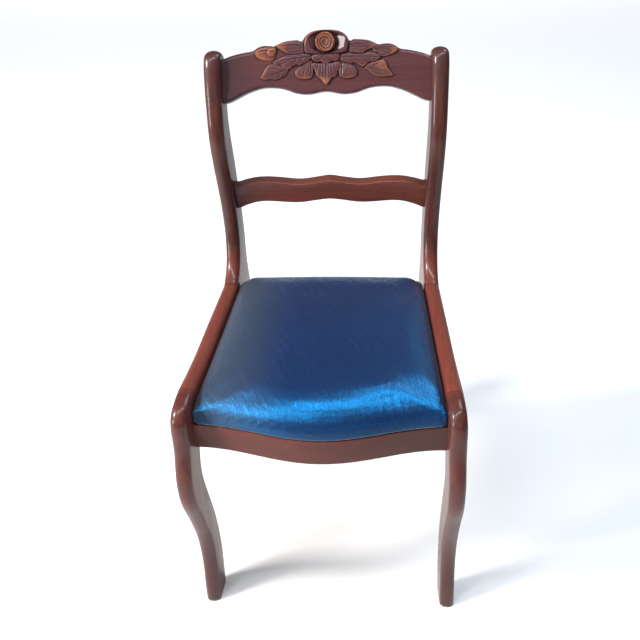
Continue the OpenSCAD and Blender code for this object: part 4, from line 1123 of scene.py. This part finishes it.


# The mid rail's darker left end is a painted shadow of the left post
mid_wood = mahogany("mahogany_mid_rail", 0, MID_SHADES, zones=[("X", 0, -0.17, PURPLE, 0.6)],
                    coat=0.45)
lofted_rail("mid_rail_shaped", np.linspace(-1, 1, 161), mid_section, post_in, mid_wood, "mid_rail")
# The front rail's darker right end is painted shade
front_wood = mahogany("mahogany_front_rail", 0, FRONT_SHADES, coat=0.3,
                      zones=[("X", 0.06, 0.17, (0.04, 0.014, 0.012), 0.6)])
lofted_rail("front_seat_rail_bowed", np.linspace(-1, 1, 141), front_section, leg_in,
            front_wood, "front_seat_rail")

cover = satin("satin_cover")
cushion = seat_cushion()
dressed(cushion, cover)
cushion.data.shade_smooth()
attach(cushion, "root")
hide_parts("seat_cover", "seat_padding")

# Cut edge of the hem: height in mm, rate and start of its waves
HEM_WAVES = [(1.4, 0.9, 0), (0.9, 2.3, 1), (0.7, 0.31, 0)]
HEM_LIFT = 0.25
HEM_T = 0.7


def seat_hem():
    """Turned-under border of the cover below the board, with a wavy cut edge."""
    count = len(PLAN)
    turn = np.arange(count)
    wave = sum(size * np.sin(turn * rate + start) for size, rate, start in HEM_WAVES)
    inward = (PLAN_MIDDLE - PLAN) / norm(PLAN_MIDDLE - PLAN, axis=1)[:, None]
    outer, inner = 1 - 1.0 / SEAT_CORNER_X, 1 - HEM_W / SEAT_CORNER_X
    rings = []
    for f in np.linspace(0, 1, 9):
        q = PLAN_MIDDLE + (PLAN - PLAN_MIDDLE) * ((1 - f) * outer + f * inner)
        q = q + inward * (wave * f * 0.5)[:, None]
        lift = 0.18 * np.sin(turn * 0.7 + 3 * f) * sin(pi * f)
        rings.append(np.column_stack([q, SEAT_H + HEM_LIFT + lift]))
    upper = [r + [0, 0, HEM_T] for r in rings[::-1]]
    faces = [f[::-1] for f in ring_faces(len(rings) * 2, count)]
    piece("seat_hem", np.vstack(rings + upper), faces, cover)


seat_hem()

LIGHT_DOWEL, DARK_DOWEL = (0.62, 0.47, 0.3), (0.5, 0.35, 0.2)
block_wood = bare_timber("bare_hardwood", 0, (0.52, 0.34, 0.2), (0.34, 0.2, 0.11))
dowel_x = bare_timber("bare_dowel_x", 0, LIGHT_DOWEL, DARK_DOWEL)
dowel_y = bare_timber("bare_dowel_y", 1, LIGHT_DOWEL, DARK_DOWEL)
board_wood = bare_timber("seat_board_wood", 0, (0.56, 0.39, 0.23), (0.42, 0.27, 0.15), 0.7)
rear_wood = mahogany("mahogany_rear_rail", 0, REAR_SHADES)
steel = plated_steel("zinc_steel")
BLOCKS = [f"corner_block_{end}_{side}" for end in ("front", "rear") for side in ("left", "right")]
CARRIED = [
    (rear_wood, ["rear_seat_rail"]),
    (board_wood, ["seat_board"]),
    (block_wood, BLOCKS),
    (dowel_x, ["crest_dowels", "mid_rail_dowels", "front_rail_dowels", "rear_rail_dowels"]),
    (dowel_y, ["side_rail_front_dowels", "side_rail_rear_dowels"]),
    (steel, ["corner_block_screws", "seat_screws", "cover_tacks"]),
]
for material, nodes in CARRIED:
    for node in nodes:
        dressed(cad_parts[node], material)

# Floor, light and camera

FLOOR_REACH = 6000
corners = [(-1, -1, 0), (1, -1, 0), (1, 1, 0), (-1, 1, 0)]
floor = linked("floor", mesh_of("floor", np.array(corners) * FLOOR_REACH, [(0, 1, 2, 3)]))
floor.data.materials.append(floor_material())


def soft_light(name, place, aim, size, watts, tint=(1, 1, 1), spin=0):
    """Area light, turned by spin degrees about the upright."""
    lamp = bpy.data.lights.new(name, "AREA")
    lamp.shape = "RECTANGLE"
    lamp.size, lamp.size_y = size
    lamp.energy = watts
    lamp.color = tint
    obj = linked(name, lamp)
    obj.location = place
    facing = (Vector(aim) - Vector(place)).to_track_quat("-Z", "Y").to_matrix()
    obj.rotation_euler = (Matrix.Rotation(radians(spin), 3, "Z") @ facing).to_euler()


soft_light("key", (-2.85, -1.05, 2.75), (0, 0, 0.5), (0.7, 0.7), 165, (1, 0.97, 0.93))
soft_light("side", (-3.0, 0.1, 2.0), (0, 0.1, 0.7), (1.6, 1.5), 17)
soft_light("low", (-2.6, -1.6, 1.05), (0, 0.1, 0.7), (0.6, 0.8), 46)
soft_light("front", (0.5, -2.6, 1.6), (0, -0.1, 0.45), (1.6, 0.8), 4, (0.92, 0.96, 1))
soft_light("top", (-0.1, -0.65, 3.3), (-0.1, -0.65, 0.45), (3.4, 0.3), 80, (0.86, 0.94, 1), 31)
soft_light("glow", (1.5, 1.45, 3.2), (0.1, 0, 0.45), (0.9, 0.9), 34, (0.88, 0.94, 1))
soft_light("behind", (0, 4.2, 0.95), (0, 4.2, 0), (7, 1), 72)
scene.view_settings.view_transform = "Standard"

SKY, SKY_STRENGTH = (0.74, 0.84, 1, 1), 0.2
world = bpy.data.worlds.new("studio")
scene.world = world
world.use_nodes = True
background = world.node_tree.nodes["Background"].inputs
background["Color"].default_value = SKY
background["Strength"].default_value = SKY_STRENGTH

# Camera fitted to the photo: place in mm, angles in degrees, focal length and width in pixels
CAMERA = (115.4, -1256.0, 1392.2)
YAW, PITCH, ROLL = (radians(a) for a in (5.74, 36.85, -3.28))
FOCAL, PHOTO_W = 947.6, 640
SENSOR = 36.0
camera_data = bpy.data.cameras.new("camera")
camera_data.sensor_width = SENSOR
camera_data.lens = SENSOR * FOCAL / PHOTO_W
camera_data.clip_start = 0.05
camera = linked("camera", camera_data)
camera.matrix_world = (Matrix.Translation(Vector(CAMERA) * MM) @ Matrix.Rotation(YAW, 4, "Z")
                       @ Matrix.Rotation(pi / 2 - PITCH, 4, "X")
                       @ Matrix.Rotation(ROLL, 4, "Z"))
scene.camera = camera
